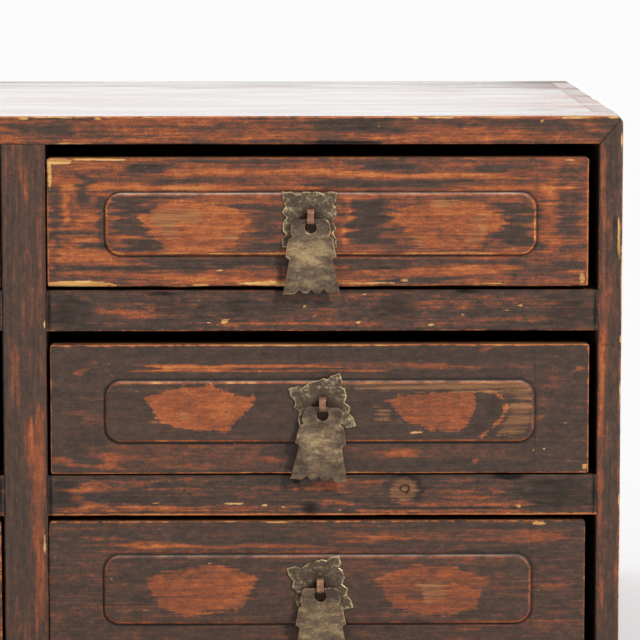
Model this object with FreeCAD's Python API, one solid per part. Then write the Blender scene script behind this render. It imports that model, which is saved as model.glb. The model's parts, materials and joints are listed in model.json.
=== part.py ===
# Tabletop chest of drawers in lacquered softwood, two columns of three drawers,
# each with a brass drop pull. Millimetres. X runs to the right, the front faces -Y,
# Z is up, and the origin is the middle of the footprint on the table.
import FreeCAD, Part
import math
import os

V = FreeCAD.Vector

# Case
depth = 330.0
side_thickness = 12.0
top_thickness = 14.0
bottom_thickness = 14.0
corner_bevel = 2.0          # worn outer corners of the case, front to back
face_bevel = 0.8            # worn edges round the front

# Corner joint: mitred at the front, through dovetails behind
mitre_depth = 14.0
tail_count = 4
case_pin = 20.0             # width of a pin at the outer face
tail_slope = 1.0 / 6.0

# Grid of openings
bay_width = 276.0
bay_height = 73.0
rows = 3
rail_height = 20.5
rail_depth = 30.0
post_width = 22.0
post_depth = 25.0
part_bevel = 0.8            # worn front edges of the rails and the post

# Joints of the grid
tenon_from_front = 6.0
tenon_height = 11.0
rail_tenon_depth = 13.0
rail_tenon_in_side = 6.0
rail_tenon_in_post = 8.0
post_tenon_width = 10.0
post_tenon_length = 7.0

# Partition behind the post, runners and guides
partition_thickness = 10.0
housing_depth = 4.0
post_groove_depth = 4.0
side_runner_width = 12.0
inner_runner_width = 20.0
runner_height = 12.0
guide_height = 10.0

# Back
plank_thickness = 8.0
back_recess = 1.0           # planks stand in from the back edges by a nail head
back_lip = 6.0              # what the rebate leaves of each board
shiplap = 6.0
nail_length = 20.0
nail_shank = 2.0
nail_tip = 0.8
nail_head = 3.6
nail_inset = 35.0           # from the ends of a plank to its nails

# Drawers
side_play = 6.0             # the opening is this much wider than a drawer
head_gap = 6.75             # above a front
bottom_head_gap = 2.75      # above the taller fronts of the lowest row
side_head_gap = 13.0        # above the sides of a drawer
front_thickness = 15.0
front_lift = 0.75           # the front clears the rail below it
front_bevel = 1.2
panel_margin = 27.5         # from the ends of a front to its raised panel
panel_border = 17.25        # from its long edges to the panel
panel_stray = 2.0           # most that a panel stands off the middle of its front
panel_corner = 8.0
panel_rise = 1.6
panel_edge = 1.4            # width of the sloping edge round the flat top
drawer_side_thickness = 8.0
drawer_back_thickness = 8.0
lap = 5.0                   # wood left in front of the half-blind tails
drawer_tails = 2
drawer_pin = 9.0
drawer_bottom_thickness = 5.0
groove_depth = 4.0
groove_height = 5.0         # from the lower edge of a side to its groove
back_gap = 1.5              # a shut drawer stops this far from the back planks

# Pull: back plate, folded pin and hanging drop
pull_above_middle = 2.3     # pin above the middle of the front
pull_stray = 4.0            # most that a pull stands off the middle of its front
pin_play = 0.33             # round the legs, in their hole
strip_thickness = 0.8
link_play = 0.22            # beside the strip where it passes the hole of the drop
leg_gap = 0.2
eye_neck = 0.7              # straight part of the eye above and below the legs
eye_play = 0.63             # round the bar of the drop, inside the eye
eye_standoff = 0.2          # between the eye and the back plate
clinch_length = 8.0
plate_thickness = 0.9
plate_width = 27.6
plate_height = 28.4
plate_hole_right = 0.6      # the pin hole, from the middle of the plate
plate_hole_up = 1.8
plate_notch_half = 2.1
plate_notch_deep = 1.9
plate_top_notch = 6.9       # from the middle of the plate, sideways
plate_side_notch = 8.3      # from the middle, up and down
drop_thickness = 1.2
drop_hole_radius = 3.0
bar_height = 2.0            # brass left above the hole
drop_bite = 0.9             # depth of the bite below the brow
drop_head_half = 8.0
drop_brow_half = 10.2
drop_brow_rise = 0.8        # of the round corner beyond its chord
drop_shoulder_half = 11.4
drop_tip_half = 12.9
drop_waist_half = 10.8
drop_foot_half = 14.4
drop_brow_fall = 4.2        # the next six run down from the top edge
drop_bite_fall = 8.8
drop_shoulder_fall = 10.2
drop_tip_fall = 19.0
drop_waist_fall = 20.3
drop_length = 37.6
foot_notch_pitch = 6.2
foot_notch_half = 1.9
foot_notch_rise = 2.0

# Column side and row from below; how far the drawer stands to one side, as a share
# of its free play; how far its panel and its pull stray to the right and up, as shares
# of panel_stray and pull_stray; and the turn of its plate and the lean of its drop in
# degrees, seen from the front.
drawers = {
    "drawer_bottom_left": (-1, 0, 0.5, (0.2, 0.1), (-0.25, 0.1), 6.0, -1.0),
    "drawer_middle_left": (-1, 1, -0.27, (-0.3, 0.15), (0.5, -0.12), -5.0, 1.5),
    "drawer_top_left": (-1, 2, 0.73, (0.1, -0.2), (0.12, 0.2), 3.0, 0.0),
    "drawer_bottom_right": (1, 0, -0.87, (0.1, -0.1), (0.35, 0.1), 15.0, 1.0),
    "drawer_middle_right": (1, 1, -0.43, (0.0, -0.55), (0.3, 0.2), 17.0, -3.5),
    "drawer_top_right": (1, 2, -0.73, (0.7, -0.15), (-0.95, 0.38), 0.0, 0.6),
}

# Derived places
width = 2 * side_thickness + post_width + 2 * bay_width
height = top_thickness + bottom_thickness + rows * bay_height + (rows - 1) * rail_height
front_y = -depth / 2
back_y = depth / 2
outer_x = width / 2
inner_x = outer_x - side_thickness
top_under = height - top_thickness
rail_back = front_y + rail_depth
post_back = front_y + post_depth
plank_out = back_y - back_recess
plank_in = plank_out - plank_thickness
row_pitch = bay_height + rail_height
guide_x = post_width / 2
partition_x = partition_thickness / 2
front_width = bay_width - side_play
drawer_side_height = bay_height - side_head_gap


def box(x0, x1, y0, y1, z0, z1):
    return Part.makeBox(x1 - x0, y1 - y0, z1 - z0, V(x0, y0, z0))


def prism(points, push):
    """Solid from a closed polygon of points, pushed along a vector."""
    face = Part.Face(Part.makePolygon(points + points[:1]))
    return face.extrude(push)


def mirrored(shape):
    return shape.mirror(V(0, 0, 0), V(1, 0, 0))


def edges_where(shape, test):
    """Straight edges whose two ends both pass the test."""
    straight = [e for e in shape.Edges if len(e.Vertexes) == 2]
    return [e for e in straight if all(test(v.Point) for v in e.Vertexes)]


def near(a, b):
    return abs(a - b) < 1e-6


def bay_floor(row):
    return bottom_thickness + row * row_pitch


# Case


def case_block():
    """The outer form of the whole case, with its worn edges."""
    block = box(-outer_x, outer_x, front_y, back_y, 0, height)
    corners = [
        e for e in edges_where(block, lambda p: near(abs(p.x), outer_x))
        if near(e.Vertexes[0].X, e.Vertexes[1].X) and near(e.Vertexes[0].Z, e.Vertexes[1].Z)
    ]
    block = block.makeChamfer(corner_bevel, corners)
    rim = edges_where(block, lambda p: near(p.y, front_y))
    return block.makeChamfer(face_bevel, rim)


def side_end(z_in, z_out):
    """Mitre wedge and tails that end the right side board, from z_in out to z_out."""
    wedge = prism(
        [V(inner_x, front_y, z_in), V(outer_x, front_y, z_in), V(outer_x, front_y, z_out)],
        V(0, mitre_depth, 0),
    )
    run = depth - mitre_depth
    tail = (run - (tail_count + 1) * case_pin) / tail_count
    draw_in = abs(z_out - z_in) * tail_slope
    pieces = [wedge]
    for i in range(tail_count):
        y0 = front_y + mitre_depth + case_pin + i * (tail + case_pin)
        y1 = y0 + tail
        pieces.append(prism(
            [
                V(inner_x, y0 + draw_in, z_in),
                V(inner_x, y1 - draw_in, z_in),
                V(inner_x, y1, z_out),
                V(inner_x, y0, z_out),
            ],
            V(side_thickness, 0, 0),
        ))
    return pieces


def side_blank():
    board = box(inner_x, outer_x, front_y, back_y, bottom_thickness, top_under)
    ends = side_end(top_under, height) + side_end(bottom_thickness, 0)
    return board.fuse(ends).removeSplitter()


def rebate():
    """Space that the back planks fill, open at the back."""
    x = outer_x - back_lip
    return box(-x, x, plank_in, back_y, back_lip, height - back_lip)


def post_blank():
    bar = box(-guide_x, guide_x, front_y, post_back, bottom_thickness, top_under)
    front = edges_where(bar, lambda p: near(p.y, front_y))
    upright = [e for e in front if near(e.Vertexes[0].X, e.Vertexes[1].X)]
    bar = bar.makeChamfer(part_bevel, upright)
    tenon_back = post_back - post_groove_depth - tenon_from_front / 2
    tenon = box(
        -post_tenon_width / 2, post_tenon_width / 2,
        front_y + tenon_from_front, tenon_back,
        bottom_thickness - post_tenon_length, top_under + post_tenon_length,
    )
    return bar.fuse(tenon)


def partition_blank():
    return box(
        -partition_x, partition_x,
        post_back - post_groove_depth, plank_in,
        bottom_thickness - housing_depth, top_under + housing_depth,
    )


def rail(row):
    """Right-hand rail whose upper face is the floor of this row."""
    z1 = bay_floor(row)
    z0 = z1 - rail_height
    bar = box(guide_x, inner_x, front_y, rail_back, z0, z1)
    front = edges_where(bar, lambda p: near(p.y, front_y))
    level = [e for e in front if near(e.Vertexes[0].Z, e.Vertexes[1].Z)]
    bar = bar.makeChamfer(part_bevel, level)
    middle = (z0 + z1) / 2
    tenon = box(
        guide_x - rail_tenon_in_post, inner_x + rail_tenon_in_side,
        front_y + tenon_from_front, front_y + tenon_from_front + rail_tenon_depth,
        middle - tenon_height / 2, middle + tenon_height / 2,
    )
    return bar.fuse(tenon).removeSplitter()


def side_runner(row):
    z1 = bay_floor(row)
    return box(inner_x - side_runner_width, inner_x, rail_back, plank_in, z1 - runner_height, z1)


def inner_runner(row):
    """Runner on the right face of the partition, with a lip that guides the drawer."""
    z1 = bay_floor(row)
    x1 = partition_x + inner_runner_width
    tread = box(partition_x, x1, rail_back, plank_in, z1 - runner_height, z1)
    lip = box(partition_x, guide_x, rail_back, plank_in, z1, z1 + guide_height)
    return tread.fuse(lip).removeSplitter()


def bottom_guide():
    z0 = bottom_thickness
    return box(partition_x, guide_x, post_back, plank_in, z0, z0 + guide_height)


def back_planks():
    """Two planks that lap at mid height."""
    x = outer_x - back_lip
    middle = height / 2
    half = (plank_in + plank_out) / 2
    upper = box(-x, x, plank_in, plank_out, middle + shiplap / 2, height - back_lip)
    tongue = box(-x, x, half, plank_out, middle - shiplap / 2, middle + shiplap / 2)
    lower = box(-x, x, plank_in, plank_out, back_lip, middle - shiplap / 2)
    step = box(-x, x, plank_in, half, middle - shiplap / 2, middle + shiplap / 2)
    return upper.fuse(tongue).removeSplitter(), lower.fuse(step).removeSplitter()


def nail(x, z):
    """Forged nail driven from behind: flat square head and a tapering square shank."""
    h = nail_head / 2
    head = box(x - h, x + h, plank_out, back_y, z - h, z + h)
    s = nail_shank / 2
    t = nail_tip / 2
    tip_y = plank_out - nail_length
    shank = Part.makeWedge(
        x - t, tip_y, z - t, z - s, x - s,
        x + t, plank_out, z + t, z + s, x + s,
    )
    return head.fuse(shank)


def back_nails():
    """Nails into the side boards and the partition, and into the top and bottom."""
    side_x = inner_x + (side_thickness - back_lip) / 2
    low = back_lip + nail_inset
    mid = height / 2
    heights = (low, mid - nail_inset, mid + nail_inset, height - low)
    spots = [(x, z) for x in (-side_x, 0.0, side_x) for z in heights]
    top_z = (top_under + height - back_lip) / 2
    bottom_z = (bottom_thickness + back_lip) / 2
    spots += [(x, z) for x in (-side_x / 2, side_x / 2) for z in (bottom_z, top_z)]
    return [nail(x, z) for x, z in spots]


# Drawers, built about the middle of the front, with the sides standing on z = 0


def front_size(row):
    gap = bottom_head_gap if row == 0 else head_gap
    return bay_height - front_lift - gap


def flared_tails(x0, x1, y_in, y_out, z_low, z_high):
    """Tails on the end of a drawer side, wider at y_out than where they leave it."""
    tail = (z_high - z_low - (drawer_tails + 1) * drawer_pin) / drawer_tails
    draw_in = abs(y_out - y_in) * tail_slope
    tails = []
    for i in range(drawer_tails):
        z0 = z_low + drawer_pin + i * (tail + drawer_pin)
        z1 = z0 + tail
        tails.append(prism(
            [
                V(x0, y_in, z0 + draw_in),
                V(x0, y_in, z1 - draw_in),
                V(x0, y_out, z1),
                V(x0, y_out, z0),
            ],
            V(x1 - x0, 0, 0),
        ))
    return tails


def drawer_back_y():
    return plank_in - back_gap


def right_drawer_side():
    x1 = front_width / 2
    x0 = x1 - drawer_side_thickness
    joint_front = front_y + front_thickness
    joint_back = drawer_back_y() - drawer_back_thickness
    board = box(x0, x1, joint_front, joint_back, 0, drawer_side_height)
    floor_top = groove_height + drawer_bottom_thickness
    tails = flared_tails(x0, x1, joint_front, front_y + lap, 0, drawer_side_height)
    tails += flared_tails(x0, x1, joint_back, drawer_back_y(), floor_top, drawer_side_height)
    under_back = box(x0, x1, joint_back, drawer_back_y(), 0, floor_top)
    return board.fuse(tails + [under_back]).removeSplitter()


def drawer_floor():
    x = front_width / 2 - drawer_side_thickness + groove_depth
    y0 = front_y + front_thickness - groove_depth
    top = groove_height + drawer_bottom_thickness
    return box(-x, x, y0, drawer_back_y(), groove_height, top)


def drawer_back():
    x = front_width / 2
    y1 = drawer_back_y()
    z0 = groove_height + drawer_bottom_thickness
    return box(-x, x, y1 - drawer_back_thickness, y1, z0, drawer_side_height)


def rounded_outline(w, h, corner, y, z_middle):
    """Wire of a rectangle with round corners, half sizes w and h, in the plane at y."""
    edges = []
    k = corner * (1 - math.sqrt(0.5))
    for sx, sz in ((1, 1), (1, -1), (-1, -1), (-1, 1)):
        a = V(sx * w, y, z_middle + sz * (h - corner))
        b = V(sx * (w - corner), y, z_middle + sz * h)
        middle = V(sx * (w - k), y, z_middle + sz * (h - k))
        edges.append(Part.Arc(a, middle, b).toShape())
    for sx in (1, -1):
        low = V(sx * w, y, z_middle - h + corner)
        edges.append(Part.makeLine(low, V(sx * w, y, z_middle + h - corner)))
    for sz in (1, -1):
        left = V(corner - w, y, z_middle + sz * h)
        edges.append(Part.makeLine(left, V(w - corner, y, z_middle + sz * h)))
    return Part.Wire(Part.__sortEdges__(edges))


def raised_panel(row):
    """Low cushion with round corners, left standing when the ground is cut back."""
    w = front_width / 2 - panel_margin
    h = front_size(row) / 2 - panel_border
    z_middle = front_lift + front_size(row) / 2
    n = panel_edge
    foot = rounded_outline(w, h, panel_corner, front_y, z_middle)
    crown = rounded_outline(w - n, h - n, panel_corner - n, front_y - panel_rise, z_middle)
    return Part.makeLoft([foot, crown], True, True)


def pin_place(row, stray):
    """Where the legs of the pin pass the front."""
    z = front_lift + front_size(row) / 2 + pull_above_middle + stray[1] * pull_stray
    return V(stray[0] * pull_stray, 0, z)


def drawer_front(row, panel_aside, pin):
    w = front_width / 2
    top = front_lift + front_size(row)
    board = box(-w, w, front_y, front_y + front_thickness, front_lift, top)
    rim = edges_where(board, lambda p: near(p.y, front_y))
    board = board.makeChamfer(front_bevel, rim)
    panel = raised_panel(row)
    panel.translate(V(panel_aside[0], 0, panel_aside[1]) * panel_stray)
    board = board.fuse(panel)
    length = front_thickness + panel_rise
    hole = Part.makeCylinder(
        pin_hole_radius, length, V(pin.x, front_y - panel_rise, pin.z), V(0, 1, 0))
    return board.cut(hole)


# Pulls, built with the middle of the pin's legs at x = 0, z = 0

plate_back = front_y - panel_rise
plate_front = plate_back - plate_thickness
strip_half = strip_thickness / 2
eye_radius = math.hypot(bar_height, drop_thickness) / 2 + eye_play
eye_middle = eye_radius + strip_half
eye_straight = 2 * eye_neck + strip_thickness + leg_gap
axis_y = plate_front - eye_standoff - eye_radius - strip_thickness
axis_below_legs = eye_straight / 2
drop_hole_z = -bar_height / 2 - drop_hole_radius

# The strip passes the round hole of the drop where the hole is still narrow: this far
# below the axis at the face of the drop.
strip_fall = math.sqrt(eye_radius ** 2 - (drop_thickness / 2) ** 2)
hole_half = math.sqrt(drop_hole_radius ** 2 - (-drop_hole_z - strip_fall) ** 2)
strip_width = 2 * (hole_half - link_play)
pin_hole_radius = math.hypot(strip_width, 2 * strip_thickness + leg_gap) / 2 + pin_play


def bent_strip(start, heading, moves, thickness, strip_w):
    """Flat strip laid along moves in the YZ plane, centred on x = 0.

    A move is ("run", length), ("fold", angle) for a sharp bend, or
    ("turn", angle, middle radius). A positive angle turns from +Y towards +Z.
    """
    half = thickness / 2
    edges = []
    at = V(0, *start)
    a = math.radians(heading)

    def ray(angle, length):
        return V(0, length * math.cos(angle), length * math.sin(angle))

    def sides(point, angle, reach):
        n = ray(angle + math.pi / 2, reach)
        return point + n, point - n

    before = sides(at, a, half)
    edges.append(Part.makeLine(*before))
    for i, move in enumerate(moves):
        if move[0] == "run":
            at = at + ray(a, move[1])
            after = sides(at, a, half)
            if i + 1 < len(moves) and moves[i + 1][0] == "fold":
                bend = math.radians(moves[i + 1][1])
                after = sides(at, a + bend / 2, half / math.cos(bend / 2))
                a += bend
            edges += [Part.makeLine(before[k], after[k]) for k in (0, 1)]
            before = after
        elif move[0] == "turn":
            bend = math.radians(move[1])
            way = math.copysign(1, bend)
            out = a - way * math.pi / 2
            centre = at - ray(out, move[2])
            at = centre + ray(out + bend, move[2])
            a += bend
            after = sides(at, a, half)
            for k, r in ((0, move[2] - way * half), (1, move[2] + way * half)):
                middle = centre + ray(out + bend / 2, r)
                edges.append(Part.Arc(before[k], middle, after[k]).toShape())
            before = after
    edges.append(Part.makeLine(*before))
    face = Part.Face(Part.Wire(Part.__sortEdges__(edges)))
    face.translate(V(-strip_w / 2, 0, 0))
    return face.extrude(V(strip_w, 0, 0))


def pull_pin():
    """Folded strip: a clinched leg, the eye in front, and the other clinched leg."""
    inside = front_y + front_thickness
    leg_z = (leg_gap + strip_thickness) / 2
    start = (inside + strip_half, leg_z + clinch_length)
    leg_run = inside + strip_half - (axis_y + eye_middle)
    moves = [
        ("run", clinch_length),
        ("fold", -90),
        ("run", leg_run),
        ("fold", -90),
        ("run", eye_neck),
        ("turn", 180, eye_middle),
        ("run", eye_straight),
        ("turn", 180, eye_middle),
        ("run", eye_neck),
        ("fold", -90),
        ("run", leg_run),
        ("fold", -90),
        ("run", clinch_length),
    ]
    return bent_strip(start, -90, moves, strip_thickness, strip_width)


def pull_plate():
    """Square plate with notches chiselled round its edges and an off-centre pin hole."""
    w = plate_width / 2
    h = plate_height / 2
    n = plate_notch_half
    d = plate_notch_deep
    middle = V(-plate_hole_right, plate_front, -plate_hole_up)
    push = V(0, plate_thickness, 0)
    plate = box(-w, w, 0, plate_thickness, -h, h)
    bites = []
    for side in (-1, 1):
        for x in (-plate_top_notch, plate_top_notch):
            tip = V(x, 0, side * (h - d))
            bites.append(prism([V(x - n, 0, side * h), V(x + n, 0, side * h), tip], push))
        for z in (-plate_side_notch, 0.0, plate_side_notch):
            tip = V(side * (w - d), 0, z)
            bites.append(prism([V(side * w, 0, z - n), V(side * w, 0, z + n), tip], push))
    plate = plate.cut(bites)
    plate.translate(middle)
    hole = Part.makeCylinder(pin_hole_radius, plate_thickness, V(0, plate_front, 0), V(0, 1, 0))
    return plate.cut(hole)


def drop_outline():
    """Edges round the drop: flat top, round brow, a bite, a step and a notched foot."""
    top = bar_height / 2
    foot = top - drop_length

    def right_side(sign):
        def at(x, fall):
            return V(sign * x, 0, top - fall)

        head = at(drop_head_half, 0)
        brow = at(drop_brow_half, drop_brow_fall)
        chord = brow - head
        outward = V(-sign * chord.z, 0, sign * chord.x).normalize()
        brow_mid = (head + brow) * 0.5 + outward * drop_brow_rise
        points = [
            brow,
            at(drop_brow_half, drop_bite_fall - drop_bite),
            at(drop_brow_half - drop_bite, drop_bite_fall),
            at(drop_shoulder_half, drop_shoulder_fall),
            at(drop_tip_half, drop_tip_fall),
            at(drop_waist_half, drop_waist_fall),
            at(drop_foot_half, drop_length),
        ]
        lines = [Part.makeLine(a, b) for a, b in zip(points, points[1:])]
        return [Part.Arc(head, brow_mid, brow).toShape()] + lines

    edges = [Part.makeLine(V(-drop_head_half, 0, top), V(drop_head_half, 0, top))]
    edges += right_side(1) + right_side(-1)
    before = V(-drop_foot_half, 0, foot)
    for i in (-1, 0, 1):
        x = i * foot_notch_pitch
        start = V(x - foot_notch_half, 0, foot)
        peak = V(x, 0, foot + foot_notch_rise)
        end = V(x + foot_notch_half, 0, foot)
        edges.append(Part.makeLine(before, start))
        edges.append(Part.makeLine(start, peak))
        edges.append(Part.makeLine(peak, end))
        before = end
    edges.append(Part.makeLine(before, V(drop_foot_half, 0, foot)))
    return edges


def pull_drop():
    """Cast drop with a hole below its bar; the bar turns in the eye of the pin."""
    wire = Part.Wire(Part.__sortEdges__(drop_outline()))
    plate = Part.Face(wire).extrude(V(0, drop_thickness, 0))
    hole = Part.makeCylinder(drop_hole_radius, drop_thickness, V(0, 0, drop_hole_z), V(0, 1, 0))
    drop = plate.cut(hole)
    drop.translate(V(0, -drop_thickness / 2, 0))
    return drop


def export(name, shape):
    shape.exportStep("parts/" + name + ".step")


def export_case():
    block = case_block()
    post = post_blank()
    partition = partition_blank()
    rails = {row: rail(row) for row in range(1, rows)}
    upper_plank, lower_plank = back_planks()
    nails = back_nails()
    right = side_blank()
    left = mirrored(right)
    top = box(-outer_x, outer_x, front_y, back_y, top_under, height)
    bottom = box(-outer_x, outer_x, front_y, back_y, 0, bottom_thickness)
    inner = [post, partition, rebate()] + nails
    right_rails = list(rails.values())
    left_rails = [mirrored(r) for r in right_rails]
    export("right_side", right.common(block).cut([rebate()] + right_rails + nails))
    export("left_side", left.common(block).cut([rebate()] + left_rails + nails))
    export("top_board", top.cut([right, left]).common(block).cut(inner))
    export("bottom_board", bottom.cut([right, left]).common(block).cut(inner))
    export("post", post.cut([partition] + right_rails + left_rails))
    export("partition", partition.cut(nails))
    names = {1: "lower", rows - 1: "upper"}
    for row, bar in rails.items():
        export(names[row] + "_rail_right", bar)
        export(names[row] + "_rail_left", mirrored(bar))
    outer = Part.makeCompound([side_runner(row) for row in rails])
    inner_pair = Part.makeCompound([inner_runner(row) for row in rails])
    export("side_runners_right", outer)
    export("side_runners_left", mirrored(outer))
    export("partition_runners_right", inner_pair)
    export("partition_runners_left", mirrored(inner_pair))
    export("bottom_guides", Part.makeCompound([bottom_guide(), mirrored(bottom_guide())]))
    export("back_plank_upper", upper_plank.cut(nails))
    export("back_plank_lower", lower_plank.cut(nails))
    export("back_nails", Part.makeCompound(nails))


def export_drawer(name, column, row, aside, panel_aside, pull_aside, plate_turn, drop_lean):
    x = column * (guide_x + bay_width / 2) + aside * side_play / 2
    place = V(x, 0, bay_floor(row))
    pin = pin_place(row, pull_aside)
    side = right_drawer_side()
    sides = [side, mirrored(side)]
    floor = drawer_floor()
    plate = pull_plate()
    plate.rotate(V(0, 0, 0), V(0, -1, 0), plate_turn)
    drop = pull_drop()
    drop.rotate(V(0, 0, drop_hole_z), V(0, -1, 0), drop_lean)
    drop.translate(V(0, axis_y, -axis_below_legs))
    pieces = {
        "front": drawer_front(row, panel_aside, pin).cut(sides + [floor]),
        "sides": Part.makeCompound([s.cut(floor) for s in sides]),
        "back": drawer_back().cut(sides),
        "bottom": floor,
    }
    pull = {"pull_plate": plate, "pull_pin": pull_pin(), "pull_drop": drop}
    for shape in pull.values():
        shape.translate(pin)
    pieces.update(pull)
    for key, shape in pieces.items():
        shape.translate(place)
        export(name + "_" + key, shape)


os.makedirs("parts", exist_ok=True)
export_case()
for drawer_name, settings in drawers.items():
    export_drawer(drawer_name, *settings)
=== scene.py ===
# %% [markdown]
# # An old tabletop chest of drawers, dressed for its picture
#
# The CAD part holds every board, runner and pull at its real size. This file gives them
# their looks: worn edges, rubbed lacquer, bare softwood and old brass. It is a set of
# short cells. Each explanation comes first, and the code after it makes one piece or one
# finish and prints what it made.

import json
import math
from types import SimpleNamespace

import bpy
import numpy as np
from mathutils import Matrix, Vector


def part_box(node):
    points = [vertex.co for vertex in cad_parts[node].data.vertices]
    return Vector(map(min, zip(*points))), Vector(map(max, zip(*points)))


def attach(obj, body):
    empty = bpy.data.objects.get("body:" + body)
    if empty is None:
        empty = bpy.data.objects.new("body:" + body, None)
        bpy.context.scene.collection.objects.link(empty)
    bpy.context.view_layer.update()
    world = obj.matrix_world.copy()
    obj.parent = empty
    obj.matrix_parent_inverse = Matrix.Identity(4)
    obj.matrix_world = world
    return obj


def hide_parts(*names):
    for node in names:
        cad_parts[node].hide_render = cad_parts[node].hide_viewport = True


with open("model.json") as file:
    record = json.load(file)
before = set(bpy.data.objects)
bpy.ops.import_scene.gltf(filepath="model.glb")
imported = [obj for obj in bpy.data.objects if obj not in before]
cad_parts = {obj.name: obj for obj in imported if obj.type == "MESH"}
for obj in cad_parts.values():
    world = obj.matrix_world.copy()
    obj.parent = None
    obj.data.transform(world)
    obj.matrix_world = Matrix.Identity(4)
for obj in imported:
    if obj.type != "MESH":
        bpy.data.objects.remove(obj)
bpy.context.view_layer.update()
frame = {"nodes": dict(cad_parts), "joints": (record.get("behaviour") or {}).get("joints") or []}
MM = 0.001


def box_mm(node):
    """Lowest and highest corner of a CAD node, in millimetres."""
    lo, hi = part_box(node)
    return np.array(lo) / MM, np.array(hi) / MM


# %% [markdown]
# ## A board as an array
#
# A real board is a box whose edges a century of hands has rounded. A bevel modifier would
# round all of them alike. Here the skin of the box is a lattice of points held in one
# numpy array, so that any formula can bend it: a joint cuts its end, wear pulls its edges
# in, and a carved panel lifts its face. The lattice is fine where something happens and
# coarse where nothing does.

# %% Divisions and skin
def divide(lo, hi, coarse, fine=None, places=(), reach=0.0):
    """Coordinates from lo to hi, coarse apart, and fine apart within reach of the places.

    The number of steps up to t is the integral of 1 / step; the coordinates are where it
    passes whole numbers.
    """
    t = np.linspace(lo, hi, 4001)
    step = np.full(t.shape, float(coarse))
    for place in places:
        step[np.abs(t - place) < reach] = fine
    count = np.concatenate([[0.0], np.cumsum(np.diff(t) / step[1:])])
    whole = max(1, round(count[-1]))
    return np.interp(np.linspace(0, count[-1], whole + 1), count, t)


def lattice_skin(xs, ys, zs):
    """Points and quads of the skin of a box divided at xs, ys and zs.

    The skin is every lattice point whose index is the first or last on some axis. Each
    side is a grid of quads between neighbouring indices, wound to face outwards.
    """
    shape = (len(xs), len(ys), len(zs))
    at = np.indices(shape)
    last = np.array(shape).reshape(3, 1, 1, 1) - 1
    skin = ((at == 0) | (at == last)).any(0)
    number = np.full(shape, -1)
    number[skin] = np.arange(skin.sum())
    points = np.stack(np.meshgrid(xs, ys, zs, indexing="ij"), -1)[skin]
    quads = []
    for axis in range(3):
        for end in (0, -1):
            side = np.take(number, end, axis=axis)
            ring = (side[:-1, :-1], side[1:, :-1], side[1:, 1:], side[:-1, 1:])
            quad = np.stack(ring, -1).reshape(-1, 4)
            inward = (end == 0) != (axis == 1)
            quads.append(quad[:, ::-1] if inward else quad)
    return points, np.concatenate(quads)


# %% [markdown]
# ## Chance that repeats
#
# Wear is uneven, but the picture must come out the same each time. This noise picks its
# random values from a table with a fixed seed and blends between them with an S-curve.

# %% Noise and worn edges
def noise(places, size, seed):
    """Smooth field between 0 and 1 at the places, with hills about size apart.

    Each corner of the cell round a place has a random height; the heights are blended by
    the place's distances to them, eased with 3t^2 - 2t^3.
    """
    places = np.atleast_2d(np.asarray(places, float).T).T
    heights = np.random.default_rng(seed).random(8192)
    scaled = places / size
    base = np.floor(scaled).astype(np.int64)
    t = scaled - base
    t = t * t * (3 - 2 * t)
    mixers = np.array([73856093, 19349663, 83492791])[: places.shape[1]]
    total = np.zeros(len(places))
    for corner in np.ndindex(*(2,) * places.shape[1]):
        weight = np.where(corner, t, 1 - t).prod(1)
        total += weight * heights[((base + corner) * mixers).sum(1) % len(heights)]
    return total


def wear_round(points, across, corner, inward, radius):
    """Rounds one edge by pulling points back to a quarter circle.

    across holds the two axes across the edge, corner its place on them, and inward the
    signs that lead into the wood. A point less than the radius deep on both axes, and
    farther than the radius from the circle's centre, is drawn towards that centre.
    """
    depth = (points[:, across] - corner) * inward
    reach = np.broadcast_to(radius, len(points))[:, None]
    off = depth - reach
    far = np.hypot(off[:, 0], off[:, 1])
    outside = (depth < reach).all(1) & (far > reach[:, 0])
    pull = np.where(outside, reach[:, 0] / np.maximum(far, 1e-9), 1.0)
    points[:, across] = corner + (reach + off * pull[:, None]) * inward


def ragged(along, least, most, seed):
    """Radius of a worn edge along its run: mostly near the least, now and then near the most."""
    slow = noise(along, 23.0, seed)
    quick = noise(along, 5.0, seed + 1)
    return least + (most - least) * (0.65 * slow + 0.35 * quick) ** 3


# %% [markdown]
# ## From arrays to pieces
#
# Every piece is made the same way: its points are turned from millimetres to metres, its
# quads become a mesh, its fields of wear, dirt and painted light and shade become
# attributes that the material reads, it is hung on the body that it rides on, and the CAD
# solids that it stands for are hidden.

# %% Mesh helper
UNTOUCHED = {"patch": -9.0, "tan": -9.0, "from_panel": 9.0, "mottled": 1.0}


def add_piece(name, points, quads, body, stands_for, materials, fields=None, which=None):
    """Makes a mesh object from points in millimetres. which gives each face's material."""
    mesh = bpy.data.meshes.new(name)
    mesh.from_pydata(points * MM, [], quads.tolist())
    mesh.polygons.foreach_set("use_smooth", np.ones(len(quads), bool))
    for material in materials:
        mesh.materials.append(material)
    if which is not None:
        mesh.polygons.foreach_set("material_index", which.astype(np.int32))
    fields = fields or {}
    if "worn" in fields:
        fields = UNTOUCHED | fields
    for key, values in fields.items():
        layer = mesh.attributes.new(key, "FLOAT", "POINT")
        layer.data.foreach_set("value", np.broadcast_to(values, len(points)).astype(np.float32))
    mesh.update()
    piece = bpy.data.objects.new(name, mesh)
    bpy.context.scene.collection.objects.link(piece)
    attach(piece, body)
    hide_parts(*stands_for)
    return piece


# %% [markdown]
# ## Nodes and colours
#
# Colours are written as they look on a screen and turned to linear light here. One small
# function adds a node, sets it up and links it.

# %% Node helper
# A Mix node has sockets for every kind of data; these are the ones that are used here.
NUMBER_A, NUMBER_B = 2, 3
COLOUR_A, COLOUR_B, MIXED_COLOUR = 6, 7, 2


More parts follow.
